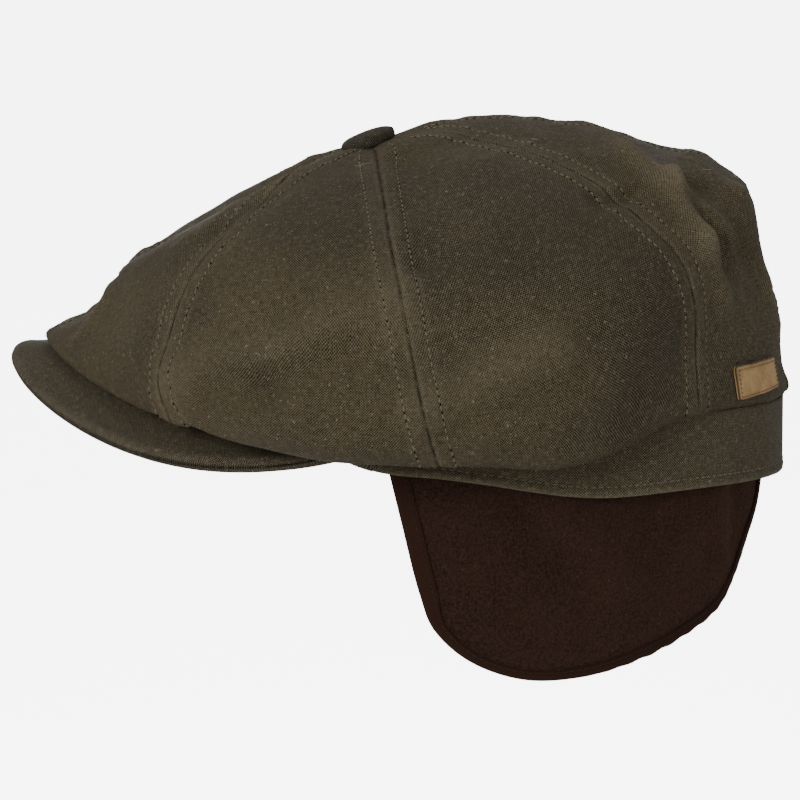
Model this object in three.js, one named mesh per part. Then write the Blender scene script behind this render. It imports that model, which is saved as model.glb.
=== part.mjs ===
// A newsboy cap with earflaps, in the form that it has on a head: an eight-panel crown over a
// headband, a stiff arched peak, a covered button, two fleece earflaps with bound edges that hang
// from inside the headband, and a small leather patch low at the back.
// Millimetres, +Z up. The peak points to -Y and the wearer's left side is +X.
// The origin is the centre of the head opening, level with the headband's lower edge at the sides.
import * as THREE from 'three';

// Headband: an upright oval wall
const HEAD_HALF_WIDTH = 84;
const HEAD_HALF_LENGTH = 102.2;
const BAND_WALL = 2;
const BAND_STEPS = 72;
const RIM_SLOPE = -0.071;
const EAR_DIP = { depth: 3.6, y: 34, width: 30 };
const RIM_BLEND = { from: -15, to: -52 };
const FRONT_RIM = { z: 34.5, archRadius: 118 };

// Crown: one wall of cloth, drawn as eight panels
const CROWN_WALL = 1.6;
const SEAM_GAP = 0.35;
const PANEL_COLUMNS = 8;
const APEX_STATION = 0.42;
const LAST_STATION = 12;
const BAND_CLEARANCE = 1.9;
const SLOPE_STEP = 0.002;

// Peak: a stiff sheet from the headband's front rim to an outer edge that arches and falls forward
const PEAK_THICKNESS = 3.3;
const PEAK_EDGE = { tipZ: 30.7, archRadius: 125, rise: 0.1 };
const PEAK_OUTLINE = { centreY: -64, halfLength: 96.4, halfWidth: 88.5, power: 2.3 };
const PEAK_CORNER = { angle: 69.5, y: -36, turn: 76, outlineShare: 0.16 };
const PEAK_STEPS = 36;
const PEAK_ROOT_GAP = 0.35;

// Section of the peak from the root (0) to the edge (1), with levels from underside (0) to top (1)
const PEAK_WIDTH_SHARES = [0, 0.35, 0.7, 0.94];
const PEAK_ROUNDING = { share: 0.985, level: 0.14, edgeLevel: 0.32 };

// Button on the apex
const BUTTON_RADIUS = 9.5;
const BUTTON_HEIGHT = 4.8;
const BUTTON_TILT = 19;
const BUTTON_LIFT = 0.7;
const BUTTON_RIM_HEIGHT = 1.4;
const BUTTON_BASE_RADIUS = 8.5;
const SHANK_RADIUS = 4.6;
const SHANK_DEPTH = 3.4;
const BUTTON_SIDES = 28;
const DOME_STEPS = 6;

// Earflaps: padded fleece lobes on an oval a little smaller than the head opening
const FLAP_HALF_WIDTH = 80.9;
const FLAP_HALF_LENGTH = 99.1;
const FLAP_HALF_THICKNESS = 1.25;
const FLAP_TUCK = 0.0012;
const FLAP_COLUMNS = 16;
const FLAP_ROWS = 12;

// Binding: a tape folded over the flap's free edge
const TAPE_CLEARANCE = 0.5;
const TAPE_WALL = 0.75;
const TAPE_WIDTH = { start: 6, end: 3.8 };
const TAPE_NARROWS = { from: 0.05, to: 0.45 };
const DIRECTION_STEP = 0.002;

// Leather patch on the back left panel
const PATCH = { angle: 158.8, station: 8.5, tilt: 8, width: 29, height: 11.5, thickness: 1.4, lift: 0.6 };
const PATCH_STEPS = 6;

// Angles of the eight seams, in degrees from the front towards the wearer's left
const SEAM_ANGLES = [0, 45, 90, 141, 180, 219, 270, 315, 360];
const PROFILE_ANGLES = [0, 45, 90, 141, 180];

// How far each panel stands out between its seams, and hangs below them at the lower edge, a row
// for each panel of a half from the front to the back
const FULLNESS_COLUMNS = ['puff', 'sag'];
const PANEL_FULLNESS = [
  [1.0, 0],
  [2.0, 1.0],
  [2.4, 6.5],
  [1.4, 1.0],
];

// The crown's profile along its seams, a row for each station from the apex, over the fold at the
// lower edge, to the headband. Path is the length along a middling profile in mm, and a point's
// radius is measured from (0, centreY).
const STATION_COLUMNS = ['path', 'centreY', 'frontR', 'frontZ', 'quarterR', 'quarterZ', 'sideR', 'sideZ',
  'rearR', 'rearZ', 'backR', 'backZ'];
const STATIONS = [
  [0, -38.5, 0, 103, 0, 103, 0, 103, 0, 103, 0, 103],
  [17, -36, 15.5, 97.5, 17, 100.5, 14, 101, 24, 107.5, 16, 109],
  [42, -34.5, 39, 87, 46, 90.5, 36, 95.5, 43.5, 105.5, 42.5, 112],
  [67, -32.5, 62, 76.5, 68, 80.5, 60, 86, 68, 100.5, 68, 108.5],
  [90, -30, 79.5, 68.5, 86, 70, 82, 73, 89, 91.5, 91, 103],
  [110, -26.5, 91, 63.5, 101, 58, 100, 57, 101, 81, 107, 97],
  [127, -23, 102.5, 53.5, 112, 43.5, 112, 39, 110, 70, 114.8, 86],
  [142, -20, 116.5, 44.5, 118, 33, 117.5, 25, 112.5, 55.5, 116, 65.5],
  [155, -17, 129, 40.5, 120, 24.5, 117.5, 14, 109.5, 39, 119.5, 32],
  [164, -15.5, 132.5, 37.5, 118.5, 19, 113, 9.5, 109, 22, 121, 20.5],
  [171, -15.5, 125, 36.5, 108, 20, 106, 11, 107, 19, 119.8, 18.6],
  [183, -15.5, 104.5, 46, 96, 29, 96, 17.5, 105.5, 19.3, 119, 18.5],
  [198, -15.5, 87.5, 57, 83, 40.5, 84.2, 22, 104, 20, 118, 18.5],
];

// Rows of the crown's lengthwise sampling, in stations
const ROW_STATIONS = [APEX_STATION, 1, 1.6, 2.3, 3, 3.6, 4.2, 4.8, 5.4, 6, 6.6, 7.2, 7.7, 8.2, 8.6,
  9, 9.4, 10, 11, LAST_STATION];

// Folds and dents of the crown: each runs straight between two places given by angle and station,
// fades over its width and stands out by its height, which is negative for a dent
const FOLD_COLUMNS = ['angle0', 'station0', 'angle1', 'station1', 'width', 'height'];
const FOLDS = [
  // Front: a ridge beside the front seam and the hollow behind it
  [-4, 5, 12, 5.8, 5, 2.4],
  [12, 5.8, 16.5, 7.1, 5, 2.4],
  [-12, 5.6, -2, 7.2, 7, -3.2],
  [32, 3.7, 45, 1.7, 4, 1.4],
  [38, 4.3, 46, 2.4, 4, -1.2],
  // Left side: the long soft ridge and valley in front of the side seam, and the dimple behind it
  [47, 6.9, 68, 5.8, 9, 2.0],
  [68, 5.8, 90, 4.8, 10, 1.8],
  [55, 6.8, 66, 6.2, 8, -2.0],
  [66, 6.2, 80, 5.3, 8, -2.4],
  [91, 6.8, 112, 6.3, 9, 2.0],
  [108, 1.6, 97, 4.2, 8, -2.6],
  // Left back: the crest that turns over to the back, its branch and the valleys between
  [184, 3, 158, 3.7, 6, 1.8],
  [158, 3.7, 153.5, 4.6, 5.5, 3.4],
  [153.5, 4.6, 148, 6, 5, 3.2],
  [148, 6, 149, 7.1, 5, 1.8],
  [154, 5.2, 151.5, 6.6, 4, -3.0],
  [153, 4.7, 156, 6.2, 3, 1.8],
  [190, 3.9, 164, 4.5, 8, -3.0],
  [160, 4.8, 159, 6.6, 5, -2.8],
  [168, 4.5, 165.5, 5.7, 4.5, 2.4],
  [165.5, 5.7, 165, 7.2, 4.5, 2.4],
  [165, 7.2, 171.5, 7.8, 4.5, 1.6],
  [180, 5.3, 177, 7.4, 7, -3.2],
  [146, 3, 154.5, 3.8, 4, 1.5],
  [137, 4.2, 146, 4.4, 4, -2.0],
  // Right side, which hangs in the same way
  [-50, 6.8, -72, 5.6, 9, 2.0],
  [-56, 6.9, -78, 5.9, 8, -2.2],
  [-92, 6.6, -114, 6.2, 9, 2.2],
  [-104, 1.8, -99, 4.4, 8, -2.4],
  [-158, 3.8, -151, 5.6, 5.5, 3.0],
  [-151, 5.6, -149, 7.1, 5, 2.0],
  [-163, 4.6, -158, 6.6, 6, -3.0],
  [-169, 4.8, -170, 7.3, 4.5, 2.6],
];

// Stations between which the fullness and the folds come and go
const PUFF_RANGE = { from: 0.3, full: 2.4, hold: 7.4, to: 9 };
const SAG_RANGE = { from: 5.5, full: 8.5, hold: 9.6, to: 12 };
const FOLD_FADE = { from: 9, to: 10 };

// Free edge of a flap from the front, round the bottom, to the back: angle from the front and height
const FLAP_EDGE_COLUMNS = ['angle', 'z'];
const FLAP_FRONT_EDGE = [[71, 13], [72.6, 2], [74.9, -14], [78.3, -38], [81, -49.8]];
const FLAP_BOTTOM_EDGE = [[81, -49.8], [88, -60], [98, -65.7], [109, -65.8], [121, -62],
  [133, -55.5], [143, -48]];
const FLAP_BACK_EDGE = [[143, -48], [148, -38.5], [152, -28], [157, -15], [162, 13]];
const FLAP_FOLD_COLUMNS = ['angle0', 'z0', 'angle1', 'z1', 'width', 'height'];
const FLAP_FOLDS = [
  [96, -10, 108, -32, 7, -1.4],
  [104, -8, 118, -34, 8, 1.2],
  [140, -6, 143, -32, 7, 1.6],
  [148, -8, 149, -26, 6, -1.2],
];

const MATERIALS = {
  crown: cloth('crown', 0x52483a, 0.72),
  peak: cloth('peak', 0x3e372c, 0.74),
  band: cloth('band', 0x393327, 0.74),
  button: cloth('button', 0x373127, 0.72),
  fleece: cloth('fleece', 0x281a15, 0.95),
  tape: cloth('tape', 0x2b1d18, 0.85),
  leather: cloth('leather', 0x8f704d, 0.6),
};

function cloth(name, color, roughness) {
  return new THREE.MeshStandardMaterial({ name, color, roughness, metalness: 0 });
}

function radians(degrees) {
  return THREE.MathUtils.degToRad(degrees);
}

function rowsOf(columns, rows) {
  return rows.map((row) => Object.fromEntries(columns.map((name, i) => [name, row[i]])));
}

function ramp(value, from, to) {
  const x = THREE.MathUtils.clamp((value - from) / (to - from), 0, 1);
  return x * x * (3 - 2 * x);
}

// Comes up from 0 to 1 between from and full, and goes back down between hold and to
function swell(value, range) {
  return ramp(value, range.from, range.full) * (1 - ramp(value, range.hold, range.to));
}

// Slopes of a smooth curve through values at uneven knots
function knotSlopes(knots, values, levelEnds) {
  const last = knots.length - 1;
  return values.map((value, i) => {
    if (i === 0) return levelEnds ? 0 : (values[1] - value) / (knots[1] - knots[0]);
    if (i === last) return levelEnds ? 0 : (value - values[last - 1]) / (knots[last] - knots[last - 1]);
    const before = knots[i] - knots[i - 1];
    const after = knots[i + 1] - knots[i];
    const rise = (value - values[i - 1]) / before;
    const nextRise = (values[i + 1] - value) / after;
    return (rise * after + nextRise * before) / (before + after);
  });
}

function smoothCurve(knots, values, slopes, at) {
  const x = THREE.MathUtils.clamp(at, knots[0], knots[knots.length - 1]);
  let i = knots.length - 2;
  while (i > 0 && x < knots[i]) i -= 1;
  const step = knots[i + 1] - knots[i];
  const u = (x - knots[i]) / step;
  const end = u * u * (3 - 2 * u);
  const leave = u * (1 - u) * (1 - u) * step;
  const arrive = -u * u * (1 - u) * step;
  return (1 - end) * values[i] + end * values[i + 1] + leave * slopes[i] + arrive * slopes[i + 1];
}

// A closed solid through a row of closed sections. Point k of a section faces point (n - 1 - k)
// across the wall, so that the two end caps are strips between the section's halves.
function wallSolid(sections, closesOnItself) {
  const size = sections[0].length;
  const positions = sections.flat().flatMap((p) => [p.x, p.y, p.z]);
  const indices = [];
  const quad = (a, b, c, d) => indices.push(a, b, c, a, c, d);
  const spans = closesOnItself ? sections.length : sections.length - 1;
  for (let i = 0; i < spans; i += 1) {
    const here = i * size;
    const next = ((i + 1) % sections.length) * size;
    for (let k = 0; k < size; k += 1) {
      const after = (k + 1) % size;
      quad(here + k, next + k, next + after, here + after);
    }
  }
  if (!closesOnItself) {
    const end = (sections.length - 1) * size;
    for (let k = 0; k < size / 2 - 1; k += 1) {
      const mate = size - 1 - k;
      quad(k, k + 1, mate - 1, mate);
      quad(end + k, end + mate, end + mate - 1, end + k + 1);
    }
  }
  const geometry = new THREE.BufferGeometry();
  geometry.setAttribute('position', new THREE.Float32BufferAttribute(positions, 3));
  geometry.setIndex(indices);
  if (signedVolume(positions, indices) < 0) geometry.setIndex(indices.reverse());
  geometry.computeVertexNormals();
  return geometry;
}

function signedVolume(positions, indices) {
  const corner = (i) => new THREE.Vector3().fromArray(positions, indices[i] * 3);
  let sum = 0;
  for (let i = 0; i < indices.length; i += 3) {
    sum += corner(i).dot(corner(i + 1).cross(corner(i + 2)));
  }
  return sum / 6;
}

function addMesh(group, name, geometry, material) {
  const mesh = new THREE.Mesh(geometry, material);
  mesh.name = name;
  group.add(mesh);
  return mesh;
}

// Height of reliefs that run between two points, seen from one place
function reliefAt(point, folds) {
  const nearest = new THREE.Vector3();
  return folds.reduce((sum, fold) => {
    fold.line.closestPointToPoint(point, true, nearest);
    const distance = nearest.distanceTo(point) / fold.width;
    return sum + fold.height * Math.exp(-distance * distance);
  }, 0);
}

// Crown surface
const stationPaths = STATIONS.map((row) => row[0]);
const stationCurves = STATION_COLUMNS.slice(1).map((name, i) => {
  const values = STATIONS.map((row) => row[i + 1]);
  return { values, slopes: knotSlopes(stationPaths, values, false) };
});
const profileAngles = PROFILE_ANGLES.map(radians);

function foldedAngle(angle) {
  const turn = 2 * Math.PI;
  return Math.abs(((angle + Math.PI) % turn + turn) % turn - Math.PI);
}

function profileValues(station) {
  const row = Math.min(Math.floor(station), LAST_STATION - 1);
  const path = THREE.MathUtils.lerp(stationPaths[row], stationPaths[row + 1], station - row);
  return stationCurves.map((curve) => smoothCurve(stationPaths, curve.values, curve.slopes, path));
}

function crownBase(angle, station) {
  const [centreY, ...pairs] = profileValues(station);
  const radii = pairs.filter((value, i) => i % 2 === 0);
  const heights = pairs.filter((value, i) => i % 2 === 1);
  const around = foldedAngle(angle);
  const r = smoothCurve(profileAngles, radii, knotSlopes(profileAngles, radii, true), around);
  const z = smoothCurve(profileAngles, heights, knotSlopes(profileAngles, heights, true), around);
  return new THREE.Vector3(r * Math.sin(angle), centreY - r * Math.cos(angle), z - panelSag(angle, station));
}

const panelFullness = rowsOf(FULLNESS_COLUMNS, PANEL_FULLNESS);

// The panel that an angle falls in, and the share of the way across it
function panelAt(angle) {
  const around = foldedAngle(angle);
  const i = profileAngles.findIndex((seam, k) => k > 0 && around <= seam + 1e-9);
  const across = (around - profileAngles[i - 1]) / (profileAngles[i] - profileAngles[i - 1]);
  return { ...panelFullness[i - 1], across: THREE.MathUtils.clamp(across, 0, 1) };
}

function panelSag(angle, station) {
  const { sag, across } = panelAt(angle);
  return sag * Math.sin(Math.PI * across) ** 2 * swell(station, SAG_RANGE);
}

function crownNormal(angle, station) {
  const low = Math.max(station - SLOPE_STEP, 0);
  const high = Math.min(station + SLOPE_STEP, LAST_STATION);
  const around = crownBase(angle + SLOPE_STEP, station).sub(crownBase(angle - SLOPE_STEP, station));
  const along = crownBase(angle, high).sub(crownBase(angle, low));
  return along.cross(around).normalize();
}

const crownFolds = rowsOf(FOLD_COLUMNS, FOLDS).map((row) => ({
  line: new THREE.Line3(
    crownBase(radians(row.angle0), row.station0),
    crownBase(radians(row.angle1), row.station1),
  ),
  width: row.width,
  height: row.height,
}));

function panelPuff(angle, station) {
  const { puff, across } = panelAt(angle);
  return puff * Math.sin(Math.PI * across) * swell(station, PUFF_RANGE);
}

function crownPoint(angle, station, lift) {
  const base = crownBase(angle, station);
  const folds = reliefAt(base, crownFolds) * (1 - ramp(station, FOLD_FADE.from, FOLD_FADE.to));
  const height = lift + panelPuff(angle, station) + folds;
  return base.addScaledVector(crownNormal(angle, station), height);
}

// Half of the gap between two panels, as an angle
function seamMargin(angle, station) {
  const [centreY] = profileValues(station);
  const seam = crownBase(angle, station);
  return SEAM_GAP / 2 / Math.hypot(seam.x, seam.y - centreY);
}

function crownPanel(fromAngle, toAngle) {
  const columns = [];
  for (let i = 0; i <= PANEL_COLUMNS; i += 1) {
    const share = i / PANEL_COLUMNS;
    const place = (station, lift) => {
      const start = radians(fromAngle) + seamMargin(radians(fromAngle), station);
      const end = radians(toAngle) - seamMargin(radians(toAngle), station);
      return crownPoint(start + (end - start) * share, station, lift);
    };
    const outer = ROW_STATIONS.map((station) => place(station, 0));
    const inner = ROW_STATIONS.map((station) => place(station, -CROWN_WALL));
    columns.push([...outer, ...inner.reverse()]);
  }
  return wallSolid(columns, false);
}

// Headband
function archDrop(radius, x) {
  return radius - Math.sqrt(radius * radius - x * x);
}

function rimHeight(x, y) {
  const dip = EAR_DIP.depth * Math.exp(-(((y - EAR_DIP.y) / EAR_DIP.width) ** 2));
  const atPeak = ramp(y, RIM_BLEND.from, RIM_BLEND.to);
  const front = FRONT_RIM.z - archDrop(FRONT_RIM.archRadius, x);
  return (RIM_SLOPE * y - dip) * (1 - atPeak) + front * atPeak;
}

function bandPoint(angle, offset, z) {
  return new THREE.Vector3(
    (HEAD_HALF_WIDTH + offset) * Math.sin(angle),
    -(HEAD_HALF_LENGTH + offset) * Math.cos(angle),
    z,
  );
}

function headband() {
  const [crownEndY] = profileValues(LAST_STATION);
  const sections = [];
  for (let i = 0; i < BAND_STEPS; i += 1) {
    const angle = (2 * Math.PI * i) / BAND_STEPS;
    const middle = bandPoint(angle, BAND_WALL / 2, 0);
    const low = rimHeight(middle.x, middle.y);
    const crownAngle = Math.atan2(middle.x, crownEndY - middle.y);
    const high = crownBase(crownAngle, LAST_STATION).z - BAND_CLEARANCE;
    const outer = [low, (low + high) / 2, high].map((z) => bandPoint(angle, BAND_WALL, z));
    const inner = [low, (low + high) / 2, high].map((z) => bandPoint(angle, 0, z));
    sections.push([...outer, ...inner.reverse()]);
  }
  return wallSolid(sections, true);
}

// Peak: sections run from the headband out to the rounded outer edge and back underneath
function peakEdgeHeight(x, y) {
  const tipY = PEAK_OUTLINE.centreY - PEAK_OUTLINE.halfLength;
  return PEAK_EDGE.tipZ - archDrop(PEAK_EDGE.archRadius, x) + PEAK_EDGE.rise * (y - tipY);
}

// The outer edge is half of a full oval, with a rounded corner from its widest place to the root
function peakOutline(share) {
  const { centreY, halfLength, halfWidth, power } = PEAK_OUTLINE;
  const side = Math.sign(share);
  const reach = Math.abs(share);
  const ovalShare = 1 - PEAK_CORNER.outlineShare;
  if (reach <= ovalShare) {
    const turn = (reach / ovalShare) * Math.PI / 2;
    const x = halfWidth * Math.sin(turn) ** (2 / power);
    const y = centreY - halfLength * Math.cos(turn) ** (2 / power);
    return new THREE.Vector3(side * x, y, peakEdgeHeight(x, y));
  }
  const turn = ((reach - ovalShare) / PEAK_CORNER.outlineShare) * radians(PEAK_CORNER.turn);
  const rootX = (HEAD_HALF_WIDTH + BAND_WALL) * Math.sin(radians(PEAK_CORNER.angle));
  const x = rootX + (halfWidth - rootX) * Math.cos(turn);
  const y = centreY + (PEAK_CORNER.y - centreY) * Math.sin(turn);
  return new THREE.Vector3(side * x, y, peakEdgeHeight(x, y));
}

function peakRoot(share) {
  const angle = radians(PEAK_CORNER.angle) * share;
  const rim = bandPoint(angle, BAND_WALL, 0);
  return bandPoint(angle, BAND_WALL + PEAK_ROOT_GAP, rimHeight(rim.x, rim.y));
}

function peak() {
  const { share: roundedShare, level: roundedLevel, edgeLevel } = PEAK_ROUNDING;
  const sections = [];
  for (let i = 0; i <= PEAK_STEPS; i += 1) {
    const share = (2 * i) / PEAK_STEPS - 1;
    const root = peakRoot(share);
    const tip = peakOutline(share);
    const place = (across, level) => {
      const point = root.clone().lerp(tip, across);
      const lean = Math.asin(point.x / PEAK_EDGE.archRadius);
      point.z += PEAK_THICKNESS * level / Math.cos(lean);
      return point;
    };
    const face = (level, rounding) => [
      ...PEAK_WIDTH_SHARES.map((across) => place(across, level)),
      place(roundedShare, level + rounding),
      place(1, level + Math.sign(rounding) * edgeLevel),
    ];
    sections.push([...face(1, -roundedLevel), ...face(0, roundedLevel).reverse()]);
  }
  return wallSolid(sections, false);
}

// Button: a domed disc on a short shank
function button() {
  const dome = [];
  for (let i = 0; i <= DOME_STEPS; i += 1) {
    const turn = (Math.PI / 2) * (i / DOME_STEPS);
    const rise = (BUTTON_HEIGHT - BUTTON_RIM_HEIGHT) * Math.cos(turn);
    dome.push(new THREE.Vector2(BUTTON_RADIUS * Math.sin(turn), BUTTON_RIM_HEIGHT + rise));
  }
  const profile = [
    ...dome,
    new THREE.Vector2(BUTTON_BASE_RADIUS, 0),
    new THREE.Vector2(SHANK_RADIUS, 0),
    new THREE.Vector2(SHANK_RADIUS, -SHANK_DEPTH),
    new THREE.Vector2(0, -SHANK_DEPTH),
  ];
  const lathe = new THREE.LatheGeometry(profile.reverse(), BUTTON_SIDES);
  return lathe.rotateX(Math.PI / 2);
}

// Earflaps
function flapSurface(angle, z, offset) {
  const tuck = FLAP_TUCK * Math.min(z, 0) ** 2;
  const base = new THREE.Vector3(
    (FLAP_HALF_WIDTH - tuck) * Math.sin(angle),
    -(FLAP_HALF_LENGTH - tuck) * Math.cos(angle),
    z,
  );
  return base.addScaledVector(flapNormal(angle), offset);
}

function flapNormal(angle) {
  const across = Math.sin(angle) / FLAP_HALF_WIDTH;
  const along = -Math.cos(angle) / FLAP_HALF_LENGTH;
  return new THREE.Vector3(across, along, 0).normalize();
}

const flapFolds = rowsOf(FLAP_FOLD_COLUMNS, FLAP_FOLDS).map((row) => ({
  line: new THREE.Line3(
    flapSurface(radians(row.angle0), row.z0, 0),
    flapSurface(radians(row.angle1), row.z1, 0),
  ),
  width: row.width,
  height: row.height,
}));

function flapPoint(place, offset) {
  const angle = radians(place.x);
  const base = flapSurface(angle, place.y, 0);
  return base.addScaledVector(flapNormal(angle), offset + reliefAt(base, flapFolds));
}

// Length of one degree round the flap's oval
function degreeLength(place) {
  const before = flapSurface(radians(place.x - 0.5), place.y, 0);
  return flapSurface(radians(place.x + 0.5), place.y, 0).distanceTo(before);
}

function edgeCurve(rows) {
  const points = rowsOf(FLAP_EDGE_COLUMNS, rows).map((row) => new THREE.Vector3(row.angle, row.z, 0));
  return new THREE.CatmullRomCurve3(points);
}

const flapOutline = edgeCurve([...FLAP_FRONT_EDGE, ...FLAP_BOTTOM_EDGE.slice(1), ...FLAP_BACK_EDGE.slice(1)]);
const outlineSpans = flapOutline.points.length - 1;
const frontShare = (FLAP_FRONT_EDGE.length - 1) / outlineSpans;
const backShare = 1 - (FLAP_BACK_EDGE.length - 1) / outlineSpans;

// Place on the flap, in angle and height: a sheet blended from the four sides of its outline
function flapPlace(across, down) {
  const front = flapOutline.getPoint(frontShare * down);
  const back = flapOutline.getPoint(1 + (backShare - 1) * down);
  const bottom = flapOutline.getPoint(frontShare + (backShare - frontShare) * across);
  const topFront = flapOutline.getPoint(0);
  const topBack = flapOutline.getPoint(1);
  const top = topFront.clone().lerp(topBack, across);
  const sides = front.lerp(back, across);
  const ends = top.clone().lerp(bottom, down);
  const lowCorners = flapOutline.getPoint(frontShare).lerp(flapOutline.getPoint(backShare), across);
  return sides.add(ends).sub(top.lerp(lowCorners, down));
}

// Places along the free edge, at the same steps as the flap's own sides
function edgeShares() {
  const shares = [];
  for (let k = 0; k < FLAP_ROWS; k += 1) shares.push(frontShare * k / FLAP_ROWS);
  for (let i = 0; i < FLAP_COLUMNS; i += 1) {
    shares.push(THREE.MathUtils.lerp(frontShare, backShare, i / FLAP_COLUMNS));
  }
  for (let k = 0; k <= FLAP_ROWS; k += 1) {
    shares.push(THREE.MathUtils.lerp(backShare, 1, k / FLAP_ROWS));
  }
  return shares;
}

function mirrored(point, side) {
  point.x *= side;
  return point;
}

function earflap(side) {
  const sections = [];
  for (let i = 0; i <= FLAP_COLUMNS; i += 1) {
    const outer = [];
    const inner = [];
    for (let k = 0; k <= FLAP_ROWS; k += 1) {
      const place = flapPlace(i / FLAP_COLUMNS, k / FLAP_ROWS);
      outer.push(mirrored(flapPoint(place, FLAP_HALF_THICKNESS), side));
      inner.push(mirrored(flapPoint(place, -FLAP_HALF_THICKNESS), side));
    }
    sections.push([...outer, ...inner.reverse()]);
  }
  return wallSolid(sections, false);
}

// Binding: a channel whose section has two layers, with corners given by reach and height
function flapBinding(side) {
  const channel = (gap) => {
    const height = FLAP_HALF_THICKNESS + gap;
    return [['in', height], ['out', height], ['out', -height], ['in', -height]].map(([reach, level]) => ({
      reach: reach === 'in' ? 1 : 0,
      beyond: reach === 'in' ? 0 : gap,
      level,
    }));
  };
  const outer = channel(TAPE_CLEARANCE + TAPE_WALL);
  const inner = channel(TAPE_CLEARANCE);
  const sections = edgeShares().map((share) => {
    const place = flapOutline.getPoint(share);
    const ahead = flapOutline.getPoint(Math.min(share + DIRECTION_STEP, 1));
    const behind = flapOutline.getPoint(Math.max(share - DIRECTION_STEP, 0));
    const arc = degreeLength(place);
    const along = new THREE.Vector2((ahead.x - behind.x) * arc, ahead.y - behind.y).normalize();
    const narrowed = ramp(share, TAPE_NARROWS.from, TAPE_NARROWS.to);
    const width = THREE.MathUtils.lerp(TAPE_WIDTH.start, TAPE_WIDTH.end, narrowed);
    const corner = ({ reach, beyond, level }) => {
      const distance = reach * width - beyond;
      const shifted = new THREE.Vector3(
        place.x - along.y * distance / arc,
        place.y + along.x * distance,
        0,
      );
      return mirrored(flapPoint(shifted, level), side);
    };
    return [...outer.map(corner), ...inner.map(corner).reverse()];
  });
  return wallSolid(sections, false);
}

// Leather patch: a small tilted plate that follows the panel under it
function leatherPatch() {
  const [centreY] = profileValues(PATCH.station);
  const centre = crownBase(radians(PATCH.angle), PATCH.station);
  const ahead = crownBase(radians(PATCH.angle), PATCH.station + SLOPE_STEP);
  const stationLength = ahead.distanceTo(centre) / SLOPE_STEP;
  const radius = Math.hypot(centre.x, centre.y - centreY);
  const tilt = radians(PATCH.tilt);
  const sections = [];
  for (let i = 0; i <= PATCH_STEPS; i += 1) {
    const across = (i / PATCH_STEPS - 0.5) * PATCH.width;
    const place = (down, lift) => {
      const along = across * Math.cos(tilt) + down * Math.sin(tilt);
      const drop = down * Math.cos(tilt) - across * Math.sin(tilt);
      const angle = radians(PATCH.angle) + along / radius;
      return crownPoint(angle, PATCH.station + drop / stationLength, lift);
    };
    const levels = [-0.5, 0, 0.5].map((level) => level * PATCH.height);
    const outer = levels.map((down) => place(down, PATCH.lift + PATCH.thickness));
    const inner = levels.map((down) => place(down, PATCH.lift));
    sections.push([...outer, ...inner.reverse()]);
  }
  return wallSolid(sections, false);
}

function buildCap() {
  const cap = new THREE.Group();
  cap.name = 'newsboy_cap';
  for (let i = 0; i < SEAM_ANGLES.length - 1; i += 1) {
    const panel = crownPanel(SEAM_ANGLES[i], SEAM_ANGLES[i + 1]);
    addMesh(cap, `crown_panel_${i + 1}`, panel, MATERIALS.crown);
  }
  addMesh(cap, 'headband', headband(), MATERIALS.band);
  addMesh(cap, 'peak', peak(), MATERIALS.peak);
  const topButton = addMesh(cap, 'top_button', button(), MATERIALS.button);
  const apex = crownBase(0, 0);
  topButton.position.copy(apex).add(new THREE.Vector3(0, 0, BUTTON_LIFT));
  topButton.rotation.x = radians(BUTTON_TILT);
  [['left', 1], ['right', -1]].forEach(([name, side]) => {
    addMesh(cap, `earflap_${name}`, earflap(side), MATERIALS.fleece);
    addMesh(cap, `flap_binding_${name}`, flapBinding(side), MATERIALS.tape);
  });
  addMesh(cap, 'leather_patch', leatherPatch(), MATERIALS.leather);
  return cap;
}

export default buildCap();
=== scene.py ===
"""Newsboy cap with earflaps: the cloth, fleece, tape and leather of each piece, over the frame.

Tables and named sizes are in millimetres and degrees, as on the real cap. Meshes are in metres.
The peak points to -Y and the wearer's left side is +X.
"""
import math

import bpy
import numpy as np
from mathutils import Matrix, Vector


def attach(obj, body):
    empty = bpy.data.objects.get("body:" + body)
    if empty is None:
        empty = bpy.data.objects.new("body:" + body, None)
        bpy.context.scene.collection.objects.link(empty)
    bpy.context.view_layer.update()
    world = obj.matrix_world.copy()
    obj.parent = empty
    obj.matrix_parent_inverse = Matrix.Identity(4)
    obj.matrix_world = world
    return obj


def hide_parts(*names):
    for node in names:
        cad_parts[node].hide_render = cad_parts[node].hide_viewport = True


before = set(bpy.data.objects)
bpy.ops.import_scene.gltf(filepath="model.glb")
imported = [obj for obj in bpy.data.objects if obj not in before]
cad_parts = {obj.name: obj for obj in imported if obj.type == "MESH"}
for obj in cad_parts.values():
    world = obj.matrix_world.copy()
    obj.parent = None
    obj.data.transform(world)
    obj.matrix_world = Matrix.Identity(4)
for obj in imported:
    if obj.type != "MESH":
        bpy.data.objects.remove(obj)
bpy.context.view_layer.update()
MM = 0.001

# Camera at the photo's angle
CAMERA = {"distance": 1200, "elevation": 8, "target": (0, -27.6, 14.6), "lens": 156.6, "sensor": 36}
FLOOR = {"height": -1000, "size": 80000}
WORLD_GLOW = 0.3
BACKDROP = {"distance": 3000, "size": 1500, "glow": 6}

# Headband, with the heights of its rows above its lower edge
HEAD_HALF_WIDTH = 84
HEAD_HALF_LENGTH = 102.2
BAND_WALL = 2
RIM_SLOPE = -0.071
EAR_DIP = {"depth": 3.6, "y": 34, "width": 30}
RIM_BLEND = (-15, -52)
FRONT_RIM = {"z": 34.5, "arch_radius": 118}
BAND_STITCH_HEIGHT = 3.6
BAND_STITCH_ANGLES = (66, 294)
BAND_LENGTH = 590
BAND_RISES = np.array([0.25, 0.6, 1.1, 1.8, 2.6, 3.2, 3.6, 4.0, 4.8, 6, *np.linspace(8, 62, 28)])
BAND_COLUMNS = 360

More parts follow.
